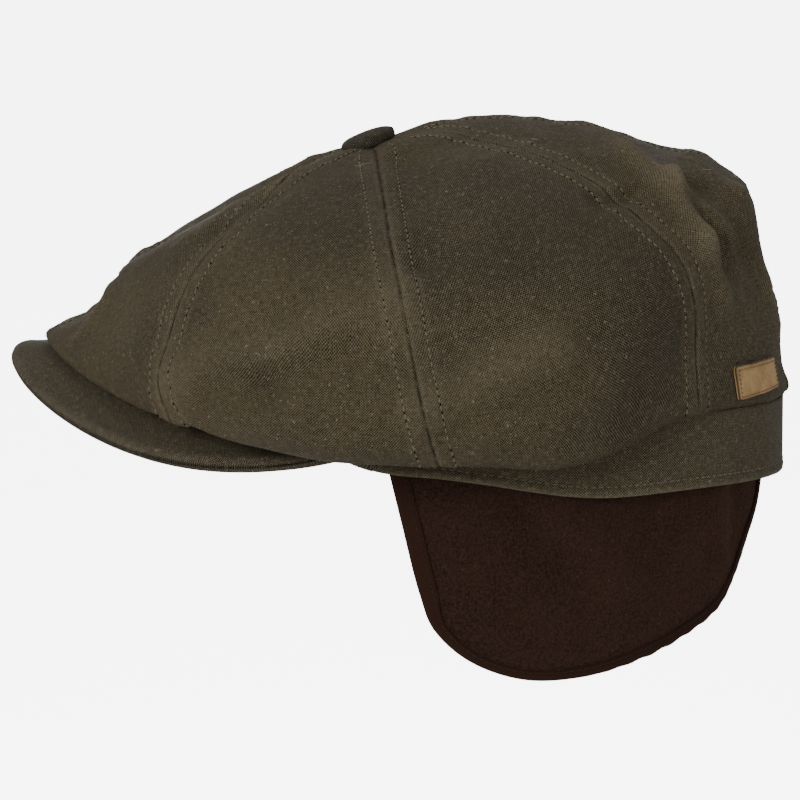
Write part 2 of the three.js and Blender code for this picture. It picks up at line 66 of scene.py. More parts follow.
# Crown
CROWN_WALL = 1.6
APEX_STATION = 0.03
LAST_STATION = 12
SLOPE_STEP = 0.002
PANEL_COLUMNS = 88
PANEL_ROWS = 150
PANEL_CROWDING = 0.5
PANEL_UV_STEP = 200
BUTTON_FADE = (9, 22)
SEAM_ANGLES = [0, 45, 90, 141, 180, 219, 270, 315, 360]
PROFILE_ANGLES = np.radians([0, 45, 90, 141, 180])

# Fullness between the seams, a row for each panel of a half: puff, sag
PANEL_FULLNESS = np.array([
    [1.0, 0],
    [2.0, 1.0],
    [2.4, 6.5],
    [1.4, 1.0],
])
PUFF_RANGE = (0.3, 2.4, 7.4, 9)
SAG_RANGE = (5.5, 8.5, 9.6, 12)
FOLD_FADE = (9, 10)

# Profile along the seams, a row for each station from the apex to the headband: path, centre y,
# then radius and height at the front, quarter, side, rear quarter and back seams
STATIONS = np.array([
    [0, -38.5, 0, 103, 0, 103, 0, 103, 0, 103, 0, 103],
    [17, -36, 15.5, 97.5, 17, 100.5, 14, 101, 24, 107.5, 16, 109],
    [42, -34.5, 39, 87, 46, 90.5, 36, 95.5, 43.5, 105.5, 42.5, 112],
    [67, -32.5, 62, 76.5, 68, 80.5, 60, 86, 68, 100.5, 68, 108.5],
    [90, -30, 79.5, 68.5, 86, 70, 82, 73, 89, 91.5, 91, 103],
    [110, -26.5, 91, 63.5, 101, 58, 100, 57, 101, 81, 107, 97],
    [127, -23, 102.5, 53.5, 112, 43.5, 112, 39, 110, 70, 114.8, 86],
    [142, -20, 116.5, 44.5, 118, 33, 117.5, 25, 112.5, 55.5, 116, 65.5],
    [155, -17, 129, 40.5, 120, 24.5, 117.5, 14, 109.5, 39, 119.5, 32],
    [164, -15.5, 132.5, 37.5, 118.5, 19, 113, 9.5, 109, 22, 121, 20.5],
    [171, -15.5, 125, 36.5, 108, 20, 106, 11, 107, 19, 119.8, 18.6],
    [183, -15.5, 104.5, 46, 96, 29, 96, 17.5, 105.5, 19.3, 119, 18.5],
    [198, -15.5, 87.5, 57, 83, 40.5, 84.2, 22, 104, 20, 118, 18.5],
])

# Soft folds of the crown: angle and station of both ends, width, height (negative for a dent)
FOLDS = np.array([
    [-4, 5, 12, 5.8, 5, 1.2],
    [12, 5.8, 16.5, 7.1, 5, 1.6],
    [-12, 5.6, -2, 7.2, 7, -1.6],
    [32, 3.7, 45, 1.7, 4, 1.4],
    [38, 4.3, 46, 2.4, 4, -1.2],
    [47, 6.9, 68, 5.8, 8, 2.6],
    [68, 5.8, 90, 4.8, 9, 2.2],
    [55, 6.9, 66, 6.4, 7, -2.8],
    [66, 6.4, 80, 5.6, 7, -3.2],
    [91, 6.8, 112, 6.3, 8, 2.8],
    [92, 7.5, 116, 7.1, 7, -1.6],
    [108, 1.6, 97, 4.2, 7, -3.2],
    [184, 3, 158, 3.7, 6, 1.2],
    [158, 3.7, 153.5, 4.6, 5, 2.3],
    [153.5, 4.6, 148, 6, 5, 2.4],
    [148, 6, 149, 7.1, 5, 1.8],
    [154, 5.2, 151.5, 6.6, 4, -2.4],
    [153, 4.7, 156, 6.2, 3, 1.8],
    [190, 3.9, 164, 4.5, 8, -1.2],
    [160, 4.8, 159, 6.6, 5, -2.4],
    [168, 4.5, 165.5, 5.7, 4.5, 0.4],
    [165.5, 5.7, 165, 7.2, 4.5, 1.8],
    [165, 7.2, 171.5, 7.8, 4.5, 1.0],
    [180, 5.3, 177, 7.0, 7, -1.2],
    [186, 7.5, 168, 7.6, 8, 1.9],
    [146, 3, 154.5, 3.8, 4, 0.5],
    [137, 4.2, 146, 4.4, 4, -2.0],
    [-50, 6.8, -72, 5.6, 9, 2.0],
    [-56, 6.9, -78, 5.9, 8, -2.2],
    [-92, 6.6, -114, 6.2, 9, 2.2],
    [-104, 1.8, -99, 4.4, 8, -2.4],
    [-158, 3.8, -151, 5.6, 5.5, 0.6],
    [-151, 5.6, -149, 7.1, 5, 1.8],
    [-163, 4.6, -158, 6.6, 6, -2.6],
    [-169, 4.8, -170, 7.3, 4.5, 1.4],
])

# Crisp creases on those folds, with the same columns; their crests are sharp
CREASES = np.array([
    [172, 3.3, 160, 3.6, 3.0, 0.5],
    [160, 3.6, 154, 4.5, 2.8, 0.9],
    [154, 4.5, 148.5, 5.9, 2.2, 1.3],
    [148.5, 5.9, 149.5, 7.2, 2.6, 0.8],
    [154, 4.6, 157, 6.0, 1.6, 1.1],
    [169, 4.4, 166, 5.6, 2.2, 0.6],
    [166, 5.6, 165.5, 7.3, 2.0, 0.8],
    [165.5, 7.3, 171, 7.9, 2.4, 0.6],
    [8, 5.3, 14.5, 6.4, 2.0, 0.6],
    [14.5, 6.4, 17.5, 7.6, 2.2, 0.8],
    [34, 3.5, 46, 1.8, 2.0, 0.7],
    [51, 3.9, 57, 2.4, 2.2, 0.7],
    [-156, 4.2, -151, 5.8, 2.4, 0.9],
    [-166, 5.2, -168, 7.2, 2.2, 0.7],
])
CREST_RADIUS = 0.7

# Seam with its allowances stitched down on both sides
SEAM = {"groove": 0.5, "groove_width": 0.55, "allowance": 5.6, "rise": 0.5, "dip": 0.34, "dip_width": 0.7}
PUCKER = {"height": 0.6, "reach": 5.5, "length": 4.4}
SEAM_STITCH = {"pitch": 2.6, "length": 1.9, "radius": 0.27}
STITCH_LIFT = 0.2
STITCHED_PATHS = (15, 168)
HOLE = {"radius": 0.34, "stretch": 1.5, "top": 0.14, "rim": -0.1, "bottom": -0.3}
RING_SIDES = 6
RING_TURNS = [(math.cos(2 * math.pi * k / RING_SIDES), math.sin(2 * math.pi * k / RING_SIDES))
              for k in range(RING_SIDES)]
STITCH_RINGS = ((-0.62, 0.75), (0, 1.0), (0.62, 0.75))

# Ripples of the crown's cloth: height, size, seed
CROWN_RIPPLES = [(0.35, 17, 1), (0.16, 6.5, 2), (0.07, 2.6, 3)]

# Share of worn wax for each mm of relief, and at the edges of the seams
WEAR = {"fold": 0.12, "crease": 0.2, "crest": 0.45, "allowance": 0.16, "seam_edge": 0.5,
        "stitched_edge": 0.35}

# Loose fibres on the crown: angle, station, turn, length
FIBRE = {"bow": 0.12, "station_length": 20}
FIBRE_PIECE = {"pitch": 0.55, "length": 0.8, "radius": 0.09}
LOOSE_FIBRES = [
    [81, 1.65, -12, 5.5],
    [166, 4.9, 50, 3.2],
    [38, 2.9, 30, 1.4],
    [70, 7.2, 80, 1.6],
    [112, 5.4, 10, 1.5],
    [150, 2.6, 70, 1.6],
    [-60, 4.4, 35, 2.2],
    [-120, 5.8, -30, 1.8],
]

# Golden cloth, partly rubbed wax and partly painted sheen highlight on the ridges, where a negative share
# keeps a dent clear of it: angle, station, reach, share
RUBBED_AND_SHEEN = np.array([
    [62, 5.1, 12, 0.9],
    [76, 4.9, 12, 0.9],
    [66, 6.4, 10, -0.7],
    [88, 5.3, 9, 0.9],
    [88, 4.2, 10, 0.9],
    [96, 7.3, 10, 0.5],
    [48, 7.6, 9, 0.8],
    [50, 6.4, 8, 0.6],
    [16, 7.4, 15, 0.6],
    [24, 6.2, 12, 0.4],
    [147, 5.2, 10, 0.4],
    [200, 6.6, 16, 0.5],
    [-70, 6.2, 18, 0.6],
    [-100, 7.2, 12, 0.5],
    [-30, 7.0, 14, 0.5],
])

# Peak
PEAK_THICKNESS = 3.3
PEAK_EDGE = {"tip_z": 30.7, "arch_radius": 125, "rise": 0.1}
PEAK_OUTLINE = {"centre_y": -64, "half_length": 96.4, "half_width": 88.5, "power": 2.3}
PEAK_CORNER = {"angle": 69.5, "y": -36, "turn": 76, "outline_share": 0.16}
PEAK_ROOT_GAP = 0.35
PEAK_ROLL = 2.2
PEAK_COLUMNS = 181

# Button
BUTTON = {"radius": 9.5, "height": 4.8, "edge_height": 2.1, "seat": 1.0, "tilt": 20,
          "shift": (0, 0.6, -0.3)}
BUTTON_COLUMNS = 96

# Earflaps
FLAP = {"half_width": 80.9, "half_length": 99.1, "half_thickness": 1.25, "tuck": 0.0012}
FLAP_FRONT_EDGE = [[71, 13], [72.6, 2], [74.9, -14], [78.3, -38], [81, -49.8]]
FLAP_BOTTOM_EDGE = [[81, -49.8], [88, -60], [98, -65.7], [109, -65.8], [121, -62], [133, -55.5], [143, -48]]
FLAP_BACK_EDGE = [[143, -48], [148, -38.5], [152, -28], [157, -15], [162, 13]]
FLAP_FOLDS = np.array([
    [96, -10, 108, -32, 7, -2.0],
    [104, -8, 118, -34, 8, 1.8],
    [122, -12, 128, -40, 9, -1.4],
    [140, -6, 142, -32, 6, 1.8],
    [147, -10, 148, -24, 5, -0.8],
])
FLAP_COLUMNS = 111
FLAP_ROWS = 71

# Tape over the flaps' free edges
TAPE = {"clearance": 0.3, "wall": 0.55, "edge_bulge": 1.0}
TAPE_PULLED = (0.5, 0.62, 0.8, 0.95)
TAPE_PULLS = 34
TAPE_WIDTHS = np.array([[0, 5.2], [0.2, 5.0], [0.29, 2.8], [0.36, 2.0], [0.48, 2.1], [0.58, 2.8],
                        [0.7, 3.0], [0.78, 2.3], [1, 2.1]])
TAPE_STITCH = {"pitch": 2.4, "length": 1.8, "radius": 0.17}
TAPE_SECTION = [(1.0, 0.25), (0.93, 0.85), (0.82, 0.95), (0.7, 0.5), (0.45, 0.62), (0.2, 0.7)]

# Leather patch
PATCH = {"angle": 158.8, "station": 8.5, "tilt": 8, "width": 29, "height": 11.5, "top": 1.55,
         "corner": 1.6, "stitch_inset": 1.3}
PATCH_STITCH = {"pitch": 1.5, "length": 1.15, "radius": 0.14}
PATCH_COLUMNS = 81
PATCH_ROWS = 41


def ramp(value, start, end):
    x = np.clip((value - start) / (end - start), 0, 1)
    return x * x * (3 - 2 * x)


def swell(value, stops):
    return ramp(value, stops[0], stops[1]) * (1 - ramp(value, stops[2], stops[3]))


def bell(distance, width):
    return np.exp(-(distance / width) ** 2)


def unit(vectors):
    return vectors / np.maximum(np.linalg.norm(vectors, axis=-1, keepdims=True), 1e-9)


# Smooth noise of numpy points, from a lattice of hashed values
def lattice(cell, seed):
    mask = 0xFFFFFFFF
    h = cell[..., 0] * 73856093 ^ cell[..., 1] * 19349663 ^ cell[..., 2] * 83492791 ^ seed * 2654435761
    h = h & mask
    h = ((h ^ (h >> 13)) * 1274126177) & mask
    h = h ^ (h >> 16)
    return (h & 0xFFFF) / 0x8000 - 1


def noise(points, size, seed):
    scaled = np.asarray(points) / size
    cell = np.floor(scaled).astype(np.int64)
    f = scaled - cell
    f = f * f * (3 - 2 * f)
    total = 0
    for corner in np.ndindex(2, 2, 2):
        share = np.prod([f[..., k] if corner[k] else 1 - f[..., k] for k in range(3)], axis=0)
        total = total + share * lattice(cell + np.array(corner), seed)
    return total


# Smooth curves through knots
def knot_slopes(knots, values, level_ends):
    gap = np.diff(knots)
    rise = np.diff(values, axis=-1) / gap
    slopes = np.zeros_like(values)
    slopes[..., 1:-1] = (rise[..., :-1] * gap[1:] + rise[..., 1:] * gap[:-1]) / (gap[:-1] + gap[1:])
    if not level_ends:
        slopes[..., 0] = rise[..., 0]
        slopes[..., -1] = rise[..., -1]
    return slopes


def smooth_curve(knots, values, slopes, at):
    at = np.clip(at, knots[0], knots[-1])
    i = np.clip(np.searchsorted(knots, at, side="right") - 1, 0, len(knots) - 2)
    step = knots[i + 1] - knots[i]
    u = (at - knots[i]) / step
    end = u * u * (3 - 2 * u)
    row = np.arange(len(at))

    def pick(table, k):
        return table[k] if table.ndim == 1 else table[row, k]

    return ((1 - end) * pick(values, i) + end * pick(values, i + 1)
            + u * (1 - u) ** 2 * step * pick(slopes, i) - u * u * (1 - u) * step * pick(slopes, i + 1))


# Crown surface
PATHS = STATIONS[:, 0]
STATION_NUMBERS = np.arange(len(STATIONS))
STATION_CURVES = [(column, knot_slopes(PATHS, column, False)) for column in STATIONS[:, 1:].T]


def path_at(station):
    return np.interp(station, STATION_NUMBERS, PATHS)


def station_at(path):
    return np.interp(path, PATHS, STATION_NUMBERS)


def radius_at(points, station):
    """Distance of crown points from the crown's axis, whose place shifts with the station."""
    return np.hypot(points[..., 0], points[..., 1] - np.interp(station, STATION_NUMBERS, STATIONS[:, 1]))


def profile_values(station):
    return [smooth_curve(PATHS, values, slopes, path_at(station)) for values, slopes in STATION_CURVES]


def folded(angle):
    return np.abs((angle + np.pi) % (2 * np.pi) - np.pi)


def panel_fullness(angle):
    around = folded(angle)
    i = np.clip(np.searchsorted(PROFILE_ANGLES, around, side="left") - 1, 0, 3)
    across = np.clip((around - PROFILE_ANGLES[i]) / (PROFILE_ANGLES[i + 1] - PROFILE_ANGLES[i]), 0, 1)
    return PANEL_FULLNESS[i, 0], PANEL_FULLNESS[i, 1], across


def crown_base(angle, station):
    angle, station = np.broadcast_arrays(np.atleast_1d(angle), np.atleast_1d(station))
    shape = angle.shape
    angle, station = angle.ravel(), station.ravel()
    centre_y, *pairs = profile_values(station)
    around = folded(angle)
    radii, heights = np.stack(pairs[0::2], 1), np.stack(pairs[1::2], 1)
    r = smooth_curve(PROFILE_ANGLES, radii, knot_slopes(PROFILE_ANGLES, radii, True), around)
    z = smooth_curve(PROFILE_ANGLES, heights, knot_slopes(PROFILE_ANGLES, heights, True), around)
    _, sag, across = panel_fullness(angle)
    z = z - sag * np.sin(np.pi * across) ** 2 * swell(station, SAG_RANGE)
    return np.stack([r * np.sin(angle), centre_y - r * np.cos(angle), z], 1).reshape(*shape, 3)


def crown_normal(angle, station):
    low, high = np.maximum(station - SLOPE_STEP, 0), np.minimum(station + SLOPE_STEP, LAST_STATION)
    around = crown_base(angle + SLOPE_STEP, station) - crown_base(angle - SLOPE_STEP, station)
    along = crown_base(angle, high) - crown_base(angle, low)
    return unit(np.cross(along, around))


def fold_lines(table, surface):
    starts = surface(np.radians(table[:, 0]), table[:, 1])
    ends = surface(np.radians(table[:, 2]), table[:, 3])
    return list(zip(starts, ends, table[:, 4], table[:, 5]))


def line_distance(points, start, end):
    along = end - start
    share = np.clip(((points - start) @ along) / (along @ along), 0, 1)
    return np.linalg.norm(points - start - share[..., None] * along, axis=-1)


def soft_relief(points, lines):
    return sum(height * bell(line_distance(points, a, b), width) for a, b, width, height in lines)


def crisp_relief(points, lines):
    total = 0
    for a, b, width, height in lines:
        distance = np.hypot(line_distance(points, a, b), CREST_RADIUS) - CREST_RADIUS
        total = total + height * np.exp(-distance / width)
    return total


def crest_lines(points, lines):
    return sum(bell(line_distance(points, a, b), CREST_RADIUS) for a, b, _, _ in lines)


CROWN_FOLDS = fold_lines(FOLDS, crown_base)
CROWN_CREASES = fold_lines(CREASES, crown_base)


def seam_distance(angle, station):
    """Distance in mm to the nearest seam along the cloth, and that seam's number."""
    turn = np.degrees(angle) % 360
    seams = np.array(SEAM_ANGLES)
    nearest = np.abs(turn[..., None] - seams).argmin(-1)
    radius = radius_at(crown_base(angle, station), station)
    return radius * np.radians(np.abs(turn - seams[nearest])), nearest


def seam_relief(distance, seam, path):
    groove = -SEAM["groove"] * bell(distance, SEAM["groove_width"])
    bands = SEAM["rise"] * (1 - ramp(distance, SEAM["allowance"] - 0.6, SEAM["allowance"] + 1.4))
    dip = -SEAM["dip"] * bell(distance - SEAM["allowance"], SEAM["dip_width"])
    place = np.stack([path, seam * 31.0, distance * 0.45], -1)
    pull = noise(place, PUCKER["length"], 5) + 0.6 * noise(place, 2.1 * PUCKER["length"], 6)
    pucker = PUCKER["height"] * pull * bell(distance - SEAM["allowance"], PUCKER["reach"])
    return groove + bands + dip + pucker * (1 - bell(distance, 1.0))


def crown_point(angle, station, lift, detail=True):
    base = crown_base(angle, station)
    puff, _, across = panel_fullness(angle)
    fade = 1 - ramp(station, *FOLD_FADE)
    height = lift + puff * np.sin(np.pi * across) * swell(station, PUFF_RANGE)
    height = height + soft_relief(base, CROWN_FOLDS) * fade
    if detail:
        height = height + crown_detail(angle, station, base, fade)
    return base + crown_normal(angle, station) * np.asarray(height)[..., None]


def crown_detail(angle, station, base, fade):
    path = path_at(station)
    distance, seam = seam_distance(angle, station)
    creases = crisp_relief(base, CROWN_CREASES) * fade
    ripples = sum(height * noise(base, size, seed) for height, size, seed in CROWN_RIPPLES)
    return creases + (seam_relief(distance, seam, path) + ripples) * ramp(path, *BUTTON_FADE)


# Meshes
def new_piece(name, points, faces, material, node=None, uv=None, marks=None):
    """A smooth piece that rides on the cap, and stands for a node where one is given."""
    mesh = bpy.data.meshes.new(name)
    mesh.from_pydata((np.asarray(points) * MM).tolist(), [], faces)
    if uv is not None:
        layer = mesh.uv_layers.new(name="cloth")
        layer.data.foreach_set("uv", np.asarray(uv, np.float32).ravel())
    for mark, values in (marks or {}).items():
        attribute = mesh.attributes.new(mark, "FLOAT", "POINT")
        attribute.data.foreach_set("value", np.asarray(values, np.float32).ravel())
    mesh.polygons.foreach_set("use_smooth", [True] * len(mesh.polygons))
    mesh.materials.append(material)
    mesh.validate()
    piece = bpy.data.objects.new(name, mesh)
    bpy.context.scene.collection.objects.link(piece)
    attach(piece, "root")
    if node:
        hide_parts(node)
    return piece


def signed_volume(points, faces):
    quads = np.array([(f[0], f[1], f[2], f[3] if len(f) == 4 else f[2]) for f in faces])
    a, b, c, d = (points[quads[:, k]] for k in range(4))
    return np.sum(a * np.cross(b, c)) + np.sum(a * np.cross(c, d))


def grid_quads(columns, i, k, after):
    """Corners of the cells at rows i and columns k of a grid, where the column after k is given."""
    low, high = i * columns, (i + 1) * columns
    return np.stack([low + k, high + k, high + after, low + after], 1)


def wall(name, node, material, outer, inner, uv, wrap=False, marks=None):
    """A closed wall between two grids of points. With wrap, the last column joins the first."""
    rows, columns = outer.shape[:2]
    uv_columns = uv.shape[1]
    count = rows * columns
    steps = columns if wrap else columns - 1
    i, k = np.meshgrid(np.arange(rows - 1), np.arange(steps), indexing="ij")
    i, k = i.ravel(), k.ravel()
    front, front_uv = grid_quads(columns, i, k, (k + 1) % columns), grid_quads(uv_columns, i, k, k + 1)
    faces, face_uv = [front, front[:, ::-1] + count], [front_uv, front_uv[:, ::-1]]

    def rim(a, b, a_uv, b_uv):
        faces.append(np.stack([b, a, a + count, b + count], 1))
        face_uv.append(np.stack([b_uv, a_uv, a_uv, b_uv], 1))

    k = np.arange(steps)
    after = (k + 1) % columns
    last, last_uv = (rows - 1) * columns, (rows - 1) * uv_columns
    rim(k, after, k, k + 1)
    rim(last + after, last + k, last_uv + k + 1, last_uv + k)
    if not wrap:
        i, end = np.arange(rows - 1), columns - 1
        rim((i + 1) * columns, i * columns, (i + 1) * uv_columns, i * uv_columns)
        rim(i * columns + end, (i + 1) * columns + end, i * uv_columns + end, (i + 1) * uv_columns + end)
    points = np.concatenate([outer.reshape(-1, 3), inner.reshape(-1, 3)])
    faces, face_uv = np.concatenate(faces), np.concatenate(face_uv)
    if signed_volume(points, faces) < 0:
        faces, face_uv = faces[:, ::-1], face_uv[:, ::-1]
    marks = {mark: np.concatenate([share.ravel(), np.zeros(count)]) for mark, share in (marks or {}).items()}
    corner_uv = uv.reshape(-1, 2)[face_uv.ravel()]
    return new_piece(name, points, faces.tolist(), material, node, corner_uv, marks)


def lengths_along(line):
    return np.concatenate([[0], np.cumsum(np.linalg.norm(np.diff(line, axis=0), axis=1))])


def resample(line, normals, pitch):
    """Places at even steps along a line, with their normals and directions."""
    length = lengths_along(line)
    at = np.arange(pitch / 2, length[-1], pitch)

    def pick(rows, at):
        return np.stack([np.interp(at, length, rows[:, k]) for k in range(3)], 1)

    return pick(line, at), unit(pick(normals, at)), unit(pick(line, at + 0.3) - pick(line, at - 0.3))


def strung(name, lines, material, pitch, shape):
    """Small closed shapes at even steps along lines of (points, normals).

    From a place, its normal, its direction and its side, shape gives an end, rings and an end.
    """
    points, faces = [], []
    for line, normals in lines:
        for place, up, along in zip(*resample(line, normals, pitch)):
            start, rings, end = shape(place, up, along, np.cross(up, along))
            first = len(points)
            points += [start, *(point for ring in rings for point in ring), end]
            last = len(points) - 1
            for k in range(RING_SIDES):
                after = (k + 1) % RING_SIDES
                faces.append((first, first + 1 + after, first + 1 + k))
                for low in range(first + 1, last - RING_SIDES, RING_SIDES):
                    faces.append((low + k, low + after, low + RING_SIDES + after, low + RING_SIDES + k))
                faces.append((last - RING_SIDES + k, last - RING_SIDES + after, last))
    return new_piece(name, points, faces, material)


def stitches(name, lines, material, size=SEAM_STITCH):
    """Short threads whose ends sink into the cloth."""
    radius = size["radius"]

    def shape(place, up, along, side):
        middle, half = place + up * STITCH_LIFT, along * size["length"] / 2
        rings = [[middle + half * share - up * radius * 1.2 * share ** 2
                  + radius * width * (cos * side + sin * up) for cos, sin in RING_TURNS]
                 for share, width in STITCH_RINGS]
        return middle - half - up * 2 * radius, rings, middle + half - up * 2 * radius

    return strung(name, lines, material, size["pitch"], shape)


def needle_holes(name, lines, material):
    """Small pits between the seams' stitches, as low domes whose near-black colour is painted shade of the
    holes.
    """
    pitch = SEAM_STITCH["pitch"]

    def shape(place, up, along, side):
        middle = place + along * pitch / 2
        ring = [middle + up * HOLE["rim"] + HOLE["radius"] * (cos * side + HOLE["stretch"] * sin * along)
                for cos, sin in RING_TURNS]
        return middle + up * HOLE["top"], [ring], middle + up * HOLE["bottom"]

    return strung(name, lines, material, pitch, shape)


# Materials
CANVAS_PITCH = 0.44
TAPE_PITCH = 0.5
LINT_COLOUR = (0.30, 0.27, 0.20)

# Sockets of the mix node when it mixes colours
MIX_FACTOR, MIX_COLOURS, MIX_RESULT = 0, (6, 7), 2


def set_inputs(node, values):
    for socket, value in values.items():
        node.inputs[socket].default_value = value


class Shader:
    """A principled material with short calls for the nodes that the cloths share.

    place is in metres, so its noise scales are features a metre. cloth is the UV, in mm.
    """

    def __init__(self, name, roughness, sheen=0.0, specular=0.4, sheen_tint=(1, 1, 1)):
        self.material = bpy.data.materials.new(name)
        self.material.use_nodes = True
        self.nodes = self.material.node_tree.nodes
        self.links = self.material.node_tree.links
        self.surface = self.nodes["Principled BSDF"]
        set_inputs(self.surface, {"Roughness": roughness, "Specular IOR Level": specular,
                                  "Sheen Weight": sheen, "Sheen Roughness": 0.45,
                                  "Sheen Tint": (*sheen_tint, 1)})
        coordinates = self.add("TexCoord", {})
        self.place = coordinates.outputs["Object"]
        self.cloth = coordinates.outputs["UV"]

    def add(self, kind, inputs, **settings):
        """A new node with its settings, and with each input linked to a socket or set to a value."""
        node = self.nodes.new(f"ShaderNode{kind}")
        for setting, value in settings.items():
            setattr(node, setting, value)
        for socket, value in inputs.items():
            if isinstance(value, bpy.types.NodeSocket):
                self.links.new(value, node.inputs[socket])
            else:
                node.inputs[socket].default_value = value
        return node

    def math(self, operation, a, b=0.0, c=0.0):
        return self.add("Math", {0: a, 1: b, 2: c}, operation=operation).outputs[0]

    def scaled(self, vector, scale):
        return self.add("Mapping", {"Vector": vector, "Scale": scale}).outputs[0]

    def noise(self, vector, scale, detail=2.0, roughness=0.5):
        inputs = {"Vector": vector, "Scale": scale, "Detail": detail, "Roughness": roughness}
        return self.add("TexNoise", inputs).outputs["Fac"]

    def between(self, value, low, high, to_low=0.0, to_high=1.0):
        inputs = {"Value": value, "From Min": low, "From Max": high, "To Min": to_low, "To Max": to_high}
        return self.add("MapRange", inputs, interpolation_type="SMOOTHSTEP").outputs[0]

    def mix(self, factor, low, high):
        low, high = ((*colour, 1) if isinstance(colour, tuple) else colour for colour in (low, high))
        inputs = {MIX_FACTOR: factor, MIX_COLOURS[0]: low, MIX_COLOURS[1]: high}
        return self.add("Mix", inputs, data_type="RGBA").outputs[MIX_RESULT]

    def attribute(self, name):
        return self.add("Attribute", {}, attribute_name=name).outputs["Fac"]

    def finish(self, colour, height, distance, strength=1.0):
        bump = self.add("Bump", {"Strength": strength, "Distance": distance, "Height": height})
        self.links.new(colour, self.surface.inputs["Base Color"])
        self.links.new(bump.outputs["Normal"], self.surface.inputs["Normal"])
        return self.material


def weave(shader, pitch):
    """A plain weave's height, its warp floats and its uneven threads, each about 0 to 1."""
    split = shader.add("SeparateXYZ", {0: shader.cloth})
    waves, slubs = [], []
    fine, coarse = 0.9 / pitch, 0.16 / pitch
    for axis, wander_scale, slub_scale in ((0, (0.5, 0.04, 1), (fine, coarse, 1)),
                                           (1, (0.04, 0.5, 1), (coarse, fine, 1))):
        wander = shader.noise(shader.scaled(shader.cloth, wander_scale), 1.0)
        along = shader.math("MULTIPLY_ADD", wander, 1.6 * pitch, split.outputs[axis])
        waves.append(shader.math("SINE", shader.math("MULTIPLY", along, math.pi / pitch)))
        slubs.append(shader.noise(shader.scaled(shader.cloth, slub_scale), 1.0, 1.0, 0.6))
    floats = shader.math("MULTIPLY_ADD", shader.math("MULTIPLY", *waves), 0.5, 0.5)
    warp, weft = (shader.math("ABSOLUTE", wave) for wave in waves)
    height = shader.math("MULTIPLY_ADD", shader.math("SUBTRACT", warp, weft), floats, weft)
    return height, floats, shader.math("MULTIPLY", shader.math("ADD", *slubs), 0.5)


def waxed_canvas(name, dark, mid, gold, light, marks=()):
    """Waxed cotton: a plain weave under wax that has rubbed off in patches and along ridges; the gold mark
    also holds painted sheen on the ridges, and the groove mark holds painted shade along the seams.
    """
    shader = Shader(name, 0.62, sheen=0.04, specular=0.16, sheen_tint=(0.9, 0.8, 0.6))
    height, floats, slubs = weave(shader, CANVAS_PITCH)
    broad = shader.between(shader.noise(shader.place, 17, 3.0, 0.55), 0.38, 0.66)
    middle = shader.between(shader.noise(shader.place, 60, 4.0, 0.6), 0.35, 0.7)
    grain = shader.noise(shader.place, 900, 2.0, 0.6)
    gaps = tuple(0.25 * c for c in dark)
    colour = shader.mix(middle, dark, mid)
    colour = shader.mix(shader.math("MULTIPLY", broad, 0.6), colour, gold)
    # Golden cloth from the gold mark: rubbed wax, and painted sheen highlight on the ridges
    if "gold" in marks:
        patchy = shader.between(shader.noise(shader.place, 120, 3.0, 0.6), 0.3, 0.7, 0.4, 1.0)
        colour = shader.mix(shader.math("MULTIPLY", shader.attribute("gold"), patchy), colour, gold)
    colour = shader.mix(shader.between(slubs, 0.36, 0.50, 0.75, 0.0), colour, gaps)
    colour = shader.mix(shader.between(slubs, 0.50, 0.66, 0.0, 0.75), colour, light)
    colour = shader.mix(shader.between(floats, 0.1, 0.55, 0.95, 0.0), colour, gaps)
    colour = shader.mix(shader.between(floats, 0.5, 0.95, 0.0, 0.88), colour, light)
    lint = shader.between(shader.noise(shader.place, 900, 1.0), 0.72, 0.76, 0.0, 0.9)
    colour = shader.mix(lint, colour, LINT_COLOUR)
    if "wear" in marks:
        grainy = shader.between(grain, 0.35, 0.65, 0.35, 0.85)
        colour = shader.mix(shader.math("MULTIPLY", shader.attribute("wear"), grainy), colour, light)
    # Painted shade along the seam groove, broken into dashes by noise
    if "groove" in marks:
        colour = shader.mix(shader.attribute("groove"), colour, tuple(0.125 * c for c in dark))
    rough = shader.between(middle, 0.0, 1.0, 0.56, 0.74)
    shader.links.new(rough, shader.surface.inputs["Roughness"])
    bumps = shader.math("MULTIPLY_ADD", slubs, 1.6, height)
    bumps = shader.math("MULTIPLY_ADD", grain, 0.7, bumps)
    return shader.finish(colour, bumps, 0.00018)


def fleece(name, dark, light):
    shader = Shader(name, 0.95, sheen=0.3, specular=0.05, sheen_tint=(0.62, 0.36, 0.26))
    tufts = shader.noise(shader.place, 1150, 4.0, 0.75)
    clumps = shader.noise(shader.place, 60, 3.0, 0.5)
    fibres = shader.noise(shader.place, 2200, 3.0, 0.7)
    colour = shader.mix(shader.between(tufts, 0.28, 0.74), dark, light)
    colour = shader.mix(shader.between(clumps, 0.35, 0.68, 0.0, 0.2), colour, light)
    specks = shader.between(shader.noise(shader.place, 1300, 1.0), 0.74, 0.78, 0.0, 0.6)
    colour = shader.mix(specks, colour, (0.20, 0.13, 0.09))
    heights = shader.math("MULTIPLY_ADD", fibres, 0.5, shader.math("MULTIPLY_ADD", clumps, 0.8, tufts))
    return shader.finish(colour, heights, 0.0006, 0.9)


def woven_tape(name, dark, light):
    shader = Shader(name, 0.85, sheen=0.06, specular=0.12, sheen_tint=(0.7, 0.45, 0.35))
    height, floats, slubs = weave(shader, TAPE_PITCH)
    colour = shader.mix(shader.between(floats, 0.1, 0.9), dark, light)
    colour = shader.mix(shader.between(slubs, 0.5, 0.7, 0.0, 0.3), colour, light)
    return shader.finish(colour, height, 0.00012, 0.8)


def thread(name, colour, dark):
    shader = Shader(name, 0.7, sheen=0.2, specular=0.3)
    strands = shader.noise(shader.place, 2500, 1.0)
    mixed = shader.mix(shader.between(strands, 0.35, 0.7), dark, colour)
    return shader.finish(mixed, strands, 0.00005, 0.6)


